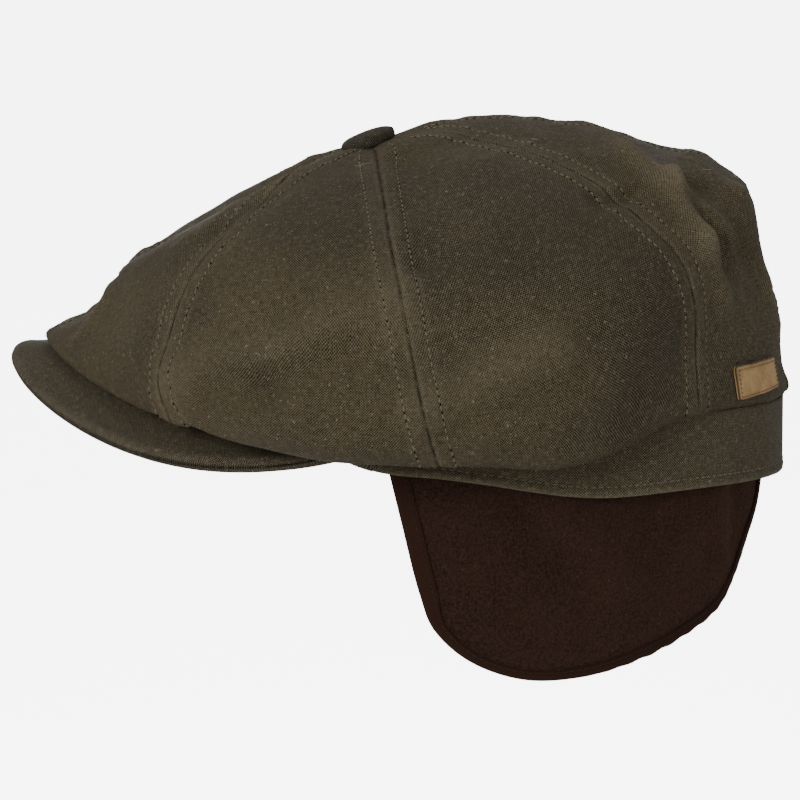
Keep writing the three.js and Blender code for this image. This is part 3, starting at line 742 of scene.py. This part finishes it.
def patch_leather(name, dark, tan, pale, rim):
    shader = Shader(name, 0.55, specular=0.4)
    pores = shader.add("TexVoronoi", {"Vector": shader.place, "Scale": 1300}).outputs["Distance"]
    blotches = shader.noise(shader.place, 150, 4.0, 0.6)
    fine = shader.noise(shader.place, 900, 3.0, 0.6)
    colour = shader.mix(shader.between(blotches, 0.35, 0.65), tan, pale)
    colour = shader.mix(shader.between(fine, 0.5, 0.75, 0.0, 0.5), colour, dark)
    colour = shader.mix(shader.attribute("wear"), colour, rim)
    heights = shader.math("MULTIPLY_ADD", fine, 0.7, pores)
    return shader.finish(colour, heights, 0.00018, 0.8)


# Near-black matt colour for the needle holes: painted shade of the holes
def needle_pit(name, colour):
    shader = Shader(name, 1.0, specular=0.0)
    flecks = shader.noise(shader.place, 2000, 1.0)
    return shader.finish(shader.mix(flecks, colour, tuple(0.5 * c for c in colour)), flecks, 0.00002)


CANVAS = waxed_canvas("crown_canvas", (0.043, 0.033, 0.0174), (0.079, 0.063, 0.035),
                      (0.170, 0.130, 0.063), (0.244, 0.202, 0.130), marks=("wear", "gold", "groove"))
# The peak's canvas is the crown's cloth painted lighter, as painted fill light on the peak's lower face
PEAK_CANVAS = waxed_canvas("peak_canvas", (0.060, 0.049, 0.026), (0.096, 0.079, 0.046),
                           (0.114, 0.092, 0.053), (0.290, 0.250, 0.170), marks=("wear",))
# The band's canvas is the crown's cloth painted lighter, as painted fill light in the shade under the crown
BAND_CANVAS = waxed_canvas("band_canvas", (0.068, 0.055, 0.029), (0.113, 0.092, 0.049),
                           (0.134, 0.107, 0.056), (0.310, 0.262, 0.170), marks=("wear",))
BUTTON_CANVAS = waxed_canvas("button_canvas", (0.038, 0.033, 0.021), (0.060, 0.051, 0.034),
                             (0.064, 0.054, 0.035), (0.200, 0.176, 0.128))
FLEECE = fleece("flap_fleece", (0.0190, 0.0096, 0.0068), (0.076, 0.0385, 0.0270))
TAPE_CLOTH = woven_tape("binding_tape", (0.020, 0.0080, 0.0045), (0.062, 0.027, 0.0165))
SEAM_THREAD = thread("seam_thread", (0.31, 0.26, 0.17), (0.16, 0.13, 0.080))
BAND_THREAD = thread("band_thread", (0.30, 0.25, 0.165), (0.15, 0.122, 0.075))
BINDING_THREAD = thread("binding_thread", (0.030, 0.017, 0.012), (0.012, 0.007, 0.005))
PATCH_THREAD = thread("patch_thread", (0.26, 0.155, 0.064), (0.12, 0.070, 0.030))
LINT = thread("pale_lint", (0.50, 0.46, 0.36), (0.36, 0.32, 0.24))
# Painted shade for the needle holes
PIT = needle_pit("needle_pit", (0.008, 0.0065, 0.004))
LEATHER = patch_leather("patch_leather", (0.30, 0.170, 0.066), (0.56, 0.345, 0.140), (0.72, 0.465, 0.205),
                        (0.070, 0.040, 0.020))


# Crown
def panel_lattice(number):
    """Angles and stations of a panel's points, which crowd towards its two seams."""
    start, end = np.radians(SEAM_ANGLES[number]), np.radians(SEAM_ANGLES[number + 1])
    even = np.linspace(0, 1, PANEL_COLUMNS + 1)
    share = even - PANEL_CROWDING * np.sin(2 * np.pi * even) / (2 * np.pi)
    path = np.linspace(path_at(APEX_STATION), PATHS[-1], PANEL_ROWS + 1)
    share, station = np.meshgrid(share, station_at(path))
    return start + (end - start) * share, station


def crown_marks(angle, station, base):
    """Shares from 0 to 1 of worn cloth, golden cloth (rubbed wax and painted sheen on the ridges) and
    painted shade along the seam groove at the crown's points.
    """
    distance, _ = seam_distance(angle, station)
    allowance = SEAM["allowance"]
    wear = WEAR["fold"] * soft_relief(base, CROWN_FOLDS) + WEAR["crease"] * crisp_relief(base, CROWN_CREASES)
    wear = wear + WEAR["crest"] * crest_lines(base, CROWN_CREASES)
    wear = wear + WEAR["allowance"] * (1 - ramp(distance, allowance - 1, allowance + 2))
    edges = WEAR["seam_edge"] * bell(distance - 1.1, 0.7)
    edges = edges + WEAR["stitched_edge"] * bell(distance - allowance - 1.2, 0.8)
    wear = wear + edges * (0.6 + 0.7 * noise(base, 9, 8)) + 0.08 * noise(base, 14, 9)
    # Golden spots: rubbed wax, and painted sheen highlights along the fold ridges
    spots = crown_base(np.radians(RUBBED_AND_SHEEN[:, 0]), RUBBED_AND_SHEEN[:, 1])
    gold = sum(share * bell(np.linalg.norm(base - spot, axis=-1), reach)
               for spot, (_, _, reach, share) in zip(spots, RUBBED_AND_SHEEN))
    gold = gold * (0.8 + 0.5 * noise(base, 12, 10))
    # Painted shade in the seam groove, in dashes
    groove = bell(distance, 0.36) * (0.45 + 0.9 * noise(base, 2.2, 11))
    return {"wear": np.clip(wear, 0, 1), "gold": np.clip(gold, 0, 1), "groove": np.clip(groove, 0, 0.8)}


def crown_panel(number):
    angle, station = panel_lattice(number)
    outer = crown_point(angle, station, 0)
    inner = crown_point(angle, station, -CROWN_WALL, detail=False)
    base = crown_base(angle, station)
    middle = np.radians((SEAM_ANGLES[number] + SEAM_ANGLES[number + 1]) / 2)
    across = (angle - middle) * radius_at(base, station)
    uv = np.stack([across + PANEL_UV_STEP * number, path_at(station)], -1)
    name = f"crown_panel_{number + 1}"
    wall(f"{name}_cloth", name, CANVAS, outer, inner, uv, marks=crown_marks(angle, station, base))


def seam_line(seam, side):
    """Points and normals of the stitched line on one side of a seam, which closes in near the button."""
    station = station_at(np.linspace(*STITCHED_PATHS, 400))
    angle = np.full_like(station, np.radians(SEAM_ANGLES[seam]))
    radius = radius_at(crown_base(angle, station), station)
    angle = angle + side * np.minimum(SEAM["allowance"], 0.32 * radius) / radius
    return crown_point(angle, station, 0), crown_normal(angle, station)


def crown():
    panels = range(len(SEAM_ANGLES) - 1)
    for number in panels:
        crown_panel(number)
    lines = [seam_line(seam, side) for seam in panels for side in (-1, 1)]
    stitches("crown_topstitching", lines, SEAM_THREAD)
    needle_holes("crown_needle_holes", lines, PIT)
    loose_fibres()


def loose_fibres():
    lines = []
    for angle, station, turn, length in LOOSE_FIBRES:
        radius = radius_at(crown_base(math.radians(angle), station)[0], station)
        step = np.linspace(-length / 2, length / 2, 30)
        bow = FIBRE["bow"] * length * np.cos(np.pi * step / length)
        cos, sin = math.cos(math.radians(turn)), math.sin(math.radians(turn))
        angles = math.radians(angle) + (step * cos - bow * sin) / radius
        stations = station + (step * sin + bow * cos) / FIBRE["station_length"]
        lines.append((crown_point(angles, stations, 0.1), crown_normal(angles, stations)))
    stitches("loose_fibres", lines, LINT, FIBRE_PIECE)


# Headband
def arch_drop(radius, x):
    return radius - np.sqrt(radius * radius - x * x)


def rim_height(x, y):
    dip = EAR_DIP["depth"] * bell(y - EAR_DIP["y"], EAR_DIP["width"])
    at_peak = ramp(y, *RIM_BLEND)
    front = FRONT_RIM["z"] - arch_drop(FRONT_RIM["arch_radius"], x)
    return (RIM_SLOPE * y - dip) * (1 - at_peak) + front * at_peak


def band_point(angle, offset, z):
    x, y = (HEAD_HALF_WIDTH + offset) * np.sin(angle), -(HEAD_HALF_LENGTH + offset) * np.cos(angle)
    return np.stack(np.broadcast_arrays(x, y, z), -1)


def oval_normal(angle, half_width, half_length):
    return unit(np.stack([np.sin(angle) / half_width, -np.cos(angle) / half_length, 0 * angle], -1))


def band_surface(angle, rise):
    """Outer face of the band at a height above its lower edge, with the hem's slight roll."""
    flat = band_point(angle, BAND_WALL, 0)
    low = rim_height(flat[..., 0], flat[..., 1])
    place = np.stack([flat[..., 0], flat[..., 1], rise], -1)
    hem = 0.35 * bell(rise - 1.8, 1.6) - 0.3 * bell(rise - BAND_STITCH_HEIGHT, 0.7)
    waves = 0.4 * noise(place, 23, 21) + 0.14 * noise(place, 6, 22) * ramp(rise, 10, 2)
    visible = 1 - ramp(flat[..., 1], -15, -40)
    return band_point(angle, BAND_WALL + (hem + waves) * (0.25 + 0.75 * visible), low + rise)


def band_height(angle):
    flat = band_point(angle, BAND_WALL / 2, 0)
    crown_angle = np.arctan2(flat[..., 0], STATIONS[-1, 1] - flat[..., 1])
    top = crown_base(crown_angle, np.full_like(crown_angle, LAST_STATION))[..., 2]
    return top - 0.4 - rim_height(flat[..., 0], flat[..., 1])


def headband():
    angle = np.linspace(0, 2 * np.pi, BAND_COLUMNS + 1)[:-1]
    height = band_height(angle)
    rows = [band_surface(angle, np.minimum(rise, height)) for rise in BAND_RISES]
    edge = band_surface(angle, np.zeros_like(angle))
    inward = band_point(angle, BAND_WALL / 2 + 0.3, 0) - band_point(angle, BAND_WALL, 0)
    outer = np.array([edge + inward * 0.55] + rows)
    flat = band_point(angle, 0, 0)
    low = rim_height(flat[..., 0], flat[..., 1])
    inner = np.array([band_point(angle, 0.5, low + 0.1)] + [
        band_point(angle, 0.1, low + np.minimum(rise, height)) for rise in BAND_RISES])
    uv = np.stack(np.meshgrid(np.linspace(0, BAND_LENGTH, BAND_COLUMNS + 1), [0, *BAND_RISES]), -1)
    wear = np.array([0.6, *(0.55 * bell(BAND_RISES, 1.2))])[:, None] * np.ones(BAND_COLUMNS)
    wall("headband_cloth", "headband", BAND_CANVAS, outer, inner, uv, True, {"wear": wear})
    angle = np.radians(np.linspace(*BAND_STITCH_ANGLES, 900))
    line = band_surface(angle, np.full_like(angle, BAND_STITCH_HEIGHT))
    normals = oval_normal(angle, HEAD_HALF_WIDTH, HEAD_HALF_LENGTH)
    stitches("band_topstitching", [(line, normals)], BAND_THREAD)


# Peak
def peak_edge_height(x, y):
    tip_y = PEAK_OUTLINE["centre_y"] - PEAK_OUTLINE["half_length"]
    return PEAK_EDGE["tip_z"] - arch_drop(PEAK_EDGE["arch_radius"], x) + PEAK_EDGE["rise"] * (y - tip_y)


def peak_outline(share):
    half_width, power = PEAK_OUTLINE["half_width"], PEAK_OUTLINE["power"]
    oval_share = 1 - PEAK_CORNER["outline_share"]
    reach = np.abs(share)
    turn = np.minimum(reach / oval_share, 1) * np.pi / 2
    x = half_width * np.sin(turn) ** (2 / power)
    y = PEAK_OUTLINE["centre_y"] - PEAK_OUTLINE["half_length"] * np.maximum(np.cos(turn), 0) ** (2 / power)
    corner = np.clip((reach - oval_share) / PEAK_CORNER["outline_share"], 0, 1)
    corner = corner * np.radians(PEAK_CORNER["turn"])
    root_x = (HEAD_HALF_WIDTH + BAND_WALL) * np.sin(np.radians(PEAK_CORNER["angle"]))
    corner_x = root_x + (half_width - root_x) * np.cos(corner)
    corner_y = PEAK_OUTLINE["centre_y"] + (PEAK_CORNER["y"] - PEAK_OUTLINE["centre_y"]) * np.sin(corner)
    x, y = np.where(reach <= oval_share, x, corner_x), np.where(reach <= oval_share, y, corner_y)
    return np.stack([np.sign(share) * x, y, peak_edge_height(x, y)], -1)


def peak():
    """Cloth over both faces of the peak, in rows from its root to its rolled edge."""
    share = np.linspace(-1, 1, PEAK_COLUMNS)
    across = np.concatenate([np.linspace(0, 0.93, 30), 1 - 0.07 * np.cos(np.linspace(0.25, np.pi / 2, 11))])
    angle = np.radians(PEAK_CORNER["angle"]) * share
    rim = band_point(angle, BAND_WALL, 0)
    root = band_point(angle, BAND_WALL + PEAK_ROOT_GAP, rim_height(rim[..., 0], rim[..., 1]))
    tip = peak_outline(share)
    middle = root[None] + (tip - root)[None] * across[:, None, None]
    lean = np.arcsin(middle[..., 0] / PEAK_EDGE["arch_radius"])
    half = PEAK_THICKNESS / 2 / np.cos(lean)
    middle[..., 2] += half
    width = np.linalg.norm(tip - root, axis=-1)
    from_edge = (1 - across[:, None]) * width[None]
    roll = np.sqrt(np.clip(1 - (1 - np.minimum(from_edge / PEAK_ROLL, 1)) ** 2, 0.0004, 1))
    ripples = 0.18 * noise(middle, 16, 31) + 0.07 * noise(middle, 4, 32)
    swelling = 0.25 * bell(from_edge - 2.5, 2.5)
    fade = np.minimum(from_edge / 3, 1)
    top, bottom = middle.copy(), middle.copy()
    top[..., 2] += half * roll + (ripples + swelling) * fade
    bottom[..., 2] -= half * roll + (0.6 * ripples) * fade
    arc = PEAK_EDGE["arch_radius"] * lean
    outward = (tip - root) / width[:, None]
    down_edge = (1 - roll)[..., None] * outward[None, :, :2] * PEAK_THICKNESS / 2
    uv = np.stack([arc + 900, middle[..., 1]], -1) + down_edge
    wear = 0.22 * bell(from_edge, 1.6) * (0.7 + 0.5 * noise(middle, 9, 33))
    wall("peak_cloth", "peak", PEAK_CANVAS, top, bottom, uv, marks={"wear": np.clip(wear, 0, 1)})


# Button
def button():
    """A domed profile turned round the button's axis: the top, the rounded side and the seat."""
    turn = np.linspace(0, np.pi / 2, 26)
    under = np.linspace(0, 1, 9)[1:]
    middle, rise, seat = BUTTON["edge_height"], BUTTON["height"] - BUTTON["edge_height"], BUTTON["seat"]
    radius = np.concatenate([BUTTON["radius"] * np.sin(turn) ** 0.9, BUTTON["radius"] - 1.9 * under ** 2.2,
                             [6.5, 4.6]])
    radius = np.maximum(radius, 0.02)
    height = np.concatenate([middle + rise * np.maximum(np.cos(turn), 0) ** 0.85,
                             middle - (middle + seat) * np.sin(under * np.pi / 2),
                             [-seat - 0.3, -seat - 0.4]])
    angle = np.linspace(0, 2 * np.pi, BUTTON_COLUMNS + 1)[:-1]
    gathers = 0.03 * ramp(radius, 7.4, 9.4)[:, None] * np.sin(22 * angle + 2 * np.sin(3 * angle))[None]
    lumps = np.stack([radius[:, None] * np.cos(angle), radius[:, None] * np.sin(angle),
                      np.broadcast_to(height[:, None], (len(radius), len(angle)))], -1)
    grid = lumps.copy()
    grid[..., 2] += 0.12 * noise(lumps, 3.4, 41)
    grid[..., :2] *= (1 + gathers / 12)[..., None]
    inner = grid * np.array([0.93, 0.93, 0.8]) + np.array([0, 0, 0.25])
    tilt = np.array(Matrix.Rotation(math.radians(BUTTON["tilt"]), 3, "X")).T
    apex = crown_base(0.0, 0.0)[0] + np.array(BUTTON["shift"])
    closed = np.concatenate([angle, [2 * np.pi]])
    reach = lengths_along(np.stack([radius, height], 1))[:, None]
    uv = np.stack([reach * np.cos(closed), reach * np.sin(closed)], -1) + 1500
    wall("top_button_cloth", "top_button", BUTTON_CANVAS, grid @ tilt + apex, inner @ tilt + apex,
         uv, wrap=True)


# Earflaps
def flap_normal(angle):
    return oval_normal(angle, FLAP["half_width"], FLAP["half_length"])


def flap_surface(angle, z):
    tuck = FLAP["tuck"] * np.minimum(z, 0) ** 2
    x, y = (FLAP["half_width"] - tuck) * np.sin(angle), -(FLAP["half_length"] - tuck) * np.cos(angle)
    return np.stack(np.broadcast_arrays(x, y, z), -1)


FLAP_LINES = fold_lines(FLAP_FOLDS, flap_surface)


def flap_point(place, offset):
    angle = np.radians(place[..., 0])
    base = flap_surface(angle, place[..., 1])
    waves = 0.35 * noise(base, 15, 51)
    return base + flap_normal(angle) * (offset + soft_relief(base, FLAP_LINES) + waves)[..., None]


def outline_at(t):
    """Centripetal curve through the flap's outline points, at shares of its spans."""
    rows = np.array(FLAP_FRONT_EDGE + FLAP_BOTTOM_EDGE[1:] + FLAP_BACK_EDGE[1:], float)
    rows = np.concatenate([[2 * rows[0] - rows[1]], rows, [2 * rows[-1] - rows[-2]]])
    spans = len(rows) - 3
    at = np.clip(np.asarray(t, float), 0, 1) * spans
    i = np.minimum(at.astype(int), spans - 1)
    w = (at - i)[..., None]
    a, b, c, d = rows[i], rows[i + 1], rows[i + 2], rows[i + 3]
    gaps = [np.linalg.norm(q - p, axis=-1)[..., None] ** 0.5 for p, q in ((a, b), (b, c), (c, d))]
    leave = ((b - a) / gaps[0] - (c - a) / (gaps[0] + gaps[1]) + (c - b) / gaps[1]) * gaps[1]
    arrive = ((c - b) / gaps[1] - (d - b) / (gaps[1] + gaps[2]) + (d - c) / gaps[2]) * gaps[1]
    square, cube = 3 * (c - b) - 2 * leave - arrive, 2 * (b - c) + leave + arrive
    return b + leave * w + square * w ** 2 + cube * w ** 3


OUTLINE_SPANS = len(FLAP_FRONT_EDGE) + len(FLAP_BOTTOM_EDGE) + len(FLAP_BACK_EDGE) - 3
FRONT_SHARE = (len(FLAP_FRONT_EDGE) - 1) / OUTLINE_SPANS
BACK_SHARE = 1 - (len(FLAP_BACK_EDGE) - 1) / OUTLINE_SPANS


def flap_place(across, down):
    """Angle and height of a flap's points, blended between its four edges."""
    front, back = outline_at(FRONT_SHARE * down), outline_at(1 + (BACK_SHARE - 1) * down)
    bottom = outline_at(FRONT_SHARE + (BACK_SHARE - FRONT_SHARE) * across)
    corners = [outline_at(np.array(t)) for t in (0, 1, FRONT_SHARE, BACK_SHARE)]
    s, t = across[..., None], down[..., None]
    top = corners[0] + (corners[1] - corners[0]) * s
    low = corners[2] + (corners[3] - corners[2]) * s
    return front + (back - front) * s + top + (bottom - top) * t - (top + (low - top) * t)


def mirrored(points, side):
    return points * np.array([side, 1, 1])


def earflap(name, side):
    across, down = np.meshgrid(np.linspace(0, 1, FLAP_COLUMNS), np.linspace(0, 1, FLAP_ROWS))
    place = flap_place(across, down)
    half = FLAP["half_thickness"]
    base = flap_surface(np.radians(place[..., 0]), place[..., 1])
    pile = 0.16 * noise(base, 2.2, 52) + 0.1 * noise(base, 1.1, 53)
    outer = mirrored(flap_point(place, half + pile), side)
    inner = mirrored(flap_point(place, -half - pile), side)
    uv = np.stack([np.radians(place[..., 0]) * 90, place[..., 1]], -1)
    return wall(f"earflap_{name}_fleece", f"earflap_{name}", FLEECE, outer, inner, uv)


def tape_width(share):
    return np.interp(share, TAPE_WIDTHS[:, 0], TAPE_WIDTHS[:, 1])


def tape_point(share, reach, height, side):
    """Points at a reach inward from the flap's edge and at a height over its middle."""
    angle, z = np.moveaxis(outline_at(share), -1, 0)
    ahead, behind = outline_at(np.minimum(share + 0.002, 1)), outline_at(np.maximum(share - 0.002, 0))
    turn = np.radians(angle)
    arc = np.linalg.norm(flap_surface(turn + 0.009, z) - flap_surface(turn - 0.009, z), axis=-1)
    arc = arc / np.degrees(0.018)
    along = unit(np.stack([(ahead[..., 0] - behind[..., 0]) * arc, ahead[..., 1] - behind[..., 1]], -1))
    place = np.stack([angle - along[..., 1] * reach / arc, z + along[..., 0] * reach], -1)
    return mirrored(flap_point(place, height), side)


def binding(name, side):
    """Tape folded over a flap's free edge, and its stitches."""
    share = np.concatenate([np.linspace(0, FRONT_SHARE, 50)[:-1],
                            np.linspace(FRONT_SHARE, BACK_SHARE, 90)[:-1], np.linspace(BACK_SHARE, 1, 50)])
    width = tape_width(share)
    turn = np.linspace(0, np.pi, 9)
    half = FLAP["half_thickness"] + TAPE["clearance"]
    pulled = swell(share, TAPE_PULLED) * np.sin(2 * np.pi * share * TAPE_PULLS)
    bulge = TAPE["edge_bulge"] + 0.35 * pulled

    def loop(extra):
        face = [(width * reach, np.full_like(share, half + extra * level + 0.1 * (extra > 0)))
                for reach, level in TAPE_SECTION]
        round_edge = [(-(bulge + extra) * math.sin(t),
                       (half + 0.7 * extra) * math.cos(t) + 0 * share) for t in turn]
        back = [(reach, -height) for reach, height in face[::-1]]
        return np.array([tape_point(share, *place, side) for place in face + round_edge + back])

    outer, inner = loop(TAPE["wall"]), loop(0.0)
    uv = np.stack(np.meshgrid(lengths_along(outer[8]), lengths_along(outer[:, 20])), -1)
    node = f"flap_binding_{name}"
    piece = wall(f"{node}_tape", node, TAPE_CLOTH, outer, inner, uv)
    share = np.linspace(0.02, 0.98, 700)
    line = tape_point(share, 0.72 * tape_width(share), half + 0.45, side)
    normals = mirrored(flap_normal(np.radians(outline_at(share)[..., 0])), side)
    stitches(f"{node}_stitching", [(line, normals)], BINDING_THREAD, TAPE_STITCH)
    return piece


def earflaps():
    for name, side in (("left", 1), ("right", -1)):
        tape = binding(name, side)
        cloth = earflap(name, side)


# Leather patch
def patch_point(across, down, lift):
    """Points over the crown at a distance across and down from the patch's centre."""
    angle, station = np.radians(PATCH["angle"]), PATCH["station"]
    centre, ahead = crown_base(angle, station)[0], crown_base(angle, station + SLOPE_STEP)[0]
    station_length = np.linalg.norm(ahead - centre) / SLOPE_STEP
    radius = radius_at(centre, station)
    tilt = math.radians(PATCH["tilt"])
    along = across * math.cos(tilt) + down * math.sin(tilt)
    drop = down * math.cos(tilt) - across * math.sin(tilt)
    return crown_point(angle + along / radius, station + drop / station_length, lift, detail=False)


def leather_patch():
    half_width, half_height, corner = PATCH["width"] / 2, PATCH["height"] / 2, PATCH["corner"]
    down = half_height * np.sin(np.linspace(-np.pi / 2, np.pi / 2, PATCH_ROWS))
    past = np.maximum(np.abs(down) - (half_height - corner), 0)
    reach = half_width - corner + np.sqrt(np.maximum(corner ** 2 - past ** 2, 0))
    across = reach[:, None] * np.sin(np.linspace(-np.pi / 2, np.pi / 2, PATCH_COLUMNS))[None]
    down = np.broadcast_to(down[:, None], across.shape)
    wobble = 0.12 * noise(np.stack([across, down, 0 * down], -1), 2.0, 61)
    edge = np.minimum(half_height - np.abs(down), reach[:, None] - np.abs(across))
    lift = PATCH["top"] - 0.6 * bell(edge, 0.45) - 0.25 * bell(edge - PATCH["stitch_inset"], 0.5)
    outer = patch_point(across + wobble, down + wobble, lift)
    inner = patch_point(across + wobble, down + wobble, 0 * lift + 0.2)
    uv = np.stack([across, down], -1)
    wear = np.clip(1.1 * bell(edge, 0.45), 0, 1)
    wall("leather_patch_hide", "leather_patch", LEATHER, outer, inner, uv, marks={"wear": wear})
    w, h = half_width - PATCH["stitch_inset"], half_height - PATCH["stitch_inset"]
    corners = np.array([[-w, -h], [w, -h], [w, h], [-w, h], [-w, -h]])
    t = np.linspace(0, 4, 400)
    path = np.stack([np.interp(t, range(5), corners[:, k]) for k in range(2)], 1)
    line = patch_point(path[:, 0], path[:, 1], np.full(len(path), PATCH["top"] - 0.18))
    angle, station = np.full(len(path), np.radians(PATCH["angle"])), np.full(len(path), PATCH["station"])
    stitches("leather_patch_stitching", [(line, crown_normal(angle, station))], PATCH_THREAD,
             PATCH_STITCH)


# Stage
def look_at(obj, target):
    obj.rotation_euler = (Vector(target) - obj.location).to_track_quat("-Z", "Y").to_euler()


def set_camera():
    elevation = math.radians(CAMERA["elevation"])
    target = Vector(CAMERA["target"]) * MM
    away = Vector((math.cos(elevation), 0, math.sin(elevation))) * CAMERA["distance"] * MM
    data = bpy.data.cameras.new("camera")
    data.lens, data.sensor_width = CAMERA["lens"], CAMERA["sensor"]
    camera = bpy.data.objects.new("camera", data)
    camera.location = target + away
    look_at(camera, target)
    bpy.context.scene.collection.objects.link(camera)
    bpy.context.scene.camera = camera


def pale_square(name, centre, size, across, up, glow):
    """A matt white square of the stage, which can shine by itself."""
    material = bpy.data.materials.new(f"pale_{name}")
    material.use_nodes = True
    set_inputs(material.node_tree.nodes["Principled BSDF"],
               {"Base Color": (0.92, 0.92, 0.92, 1), "Roughness": 0.9, "Emission Color": (1, 1, 1, 1),
                "Emission Strength": glow})
    mesh = bpy.data.meshes.new(name)
    turns = ((-1, -1), (1, -1), (1, 1), (-1, 1))
    corners = [Vector(centre) + (s * Vector(across) + t * Vector(up)) * size / 2 for s, t in turns]
    mesh.from_pydata([corner * MM for corner in corners], [], [(0, 1, 2, 3)])
    mesh.materials.append(material)
    square = bpy.data.objects.new(name, mesh)
    bpy.context.scene.collection.objects.link(square)


def set_floor():
    pale_square("floor", (0, 0, FLOOR["height"]), FLOOR["size"], (1, 0, 0), (0, 1, 0), 0)


def set_backdrop():
    """A lit white board far behind the cap, across the camera's view."""
    away = BACKDROP["distance"]
    fall = away * math.sin(math.radians(CAMERA["elevation"]))
    pale_square("backdrop", (-away, 0, -fall), BACKDROP["size"], (0, 1, 0), (0, 0, 1), BACKDROP["glow"])


# Lights: place in metres, size in metres, power in watts
LIGHTS = [
    ("key", (1.75, -1.2, 0.8), 0.8, 20),
    ("side_fill", (1.6, 1.5, 0.5), 1.2, 3),
    ("top", (0.1, 0.1, 2.0), 1.4, 0.8),
    ("back", (-1.6, 0.6, 1.0), 1.2, 3),
]


def set_lights():
    for name, place, size, power in LIGHTS:
        data = bpy.data.lights.new(name, "AREA")
        data.size, data.energy = size, power
        light = bpy.data.objects.new(name, data)
        light.location = place
        look_at(light, (0, 0, 0.03))
        bpy.context.scene.collection.objects.link(light)
    world = bpy.data.worlds.new("studio")
    world.use_nodes = True
    set_inputs(world.node_tree.nodes["Background"], {"Color": (1, 1, 1, 1), "Strength": WORLD_GLOW})
    bpy.context.scene.world = world


set_camera()
set_floor()
set_backdrop()
set_lights()
crown()
headband()
peak()
button()
earflaps()
leather_patch()

bpy.context.view_layer.update()
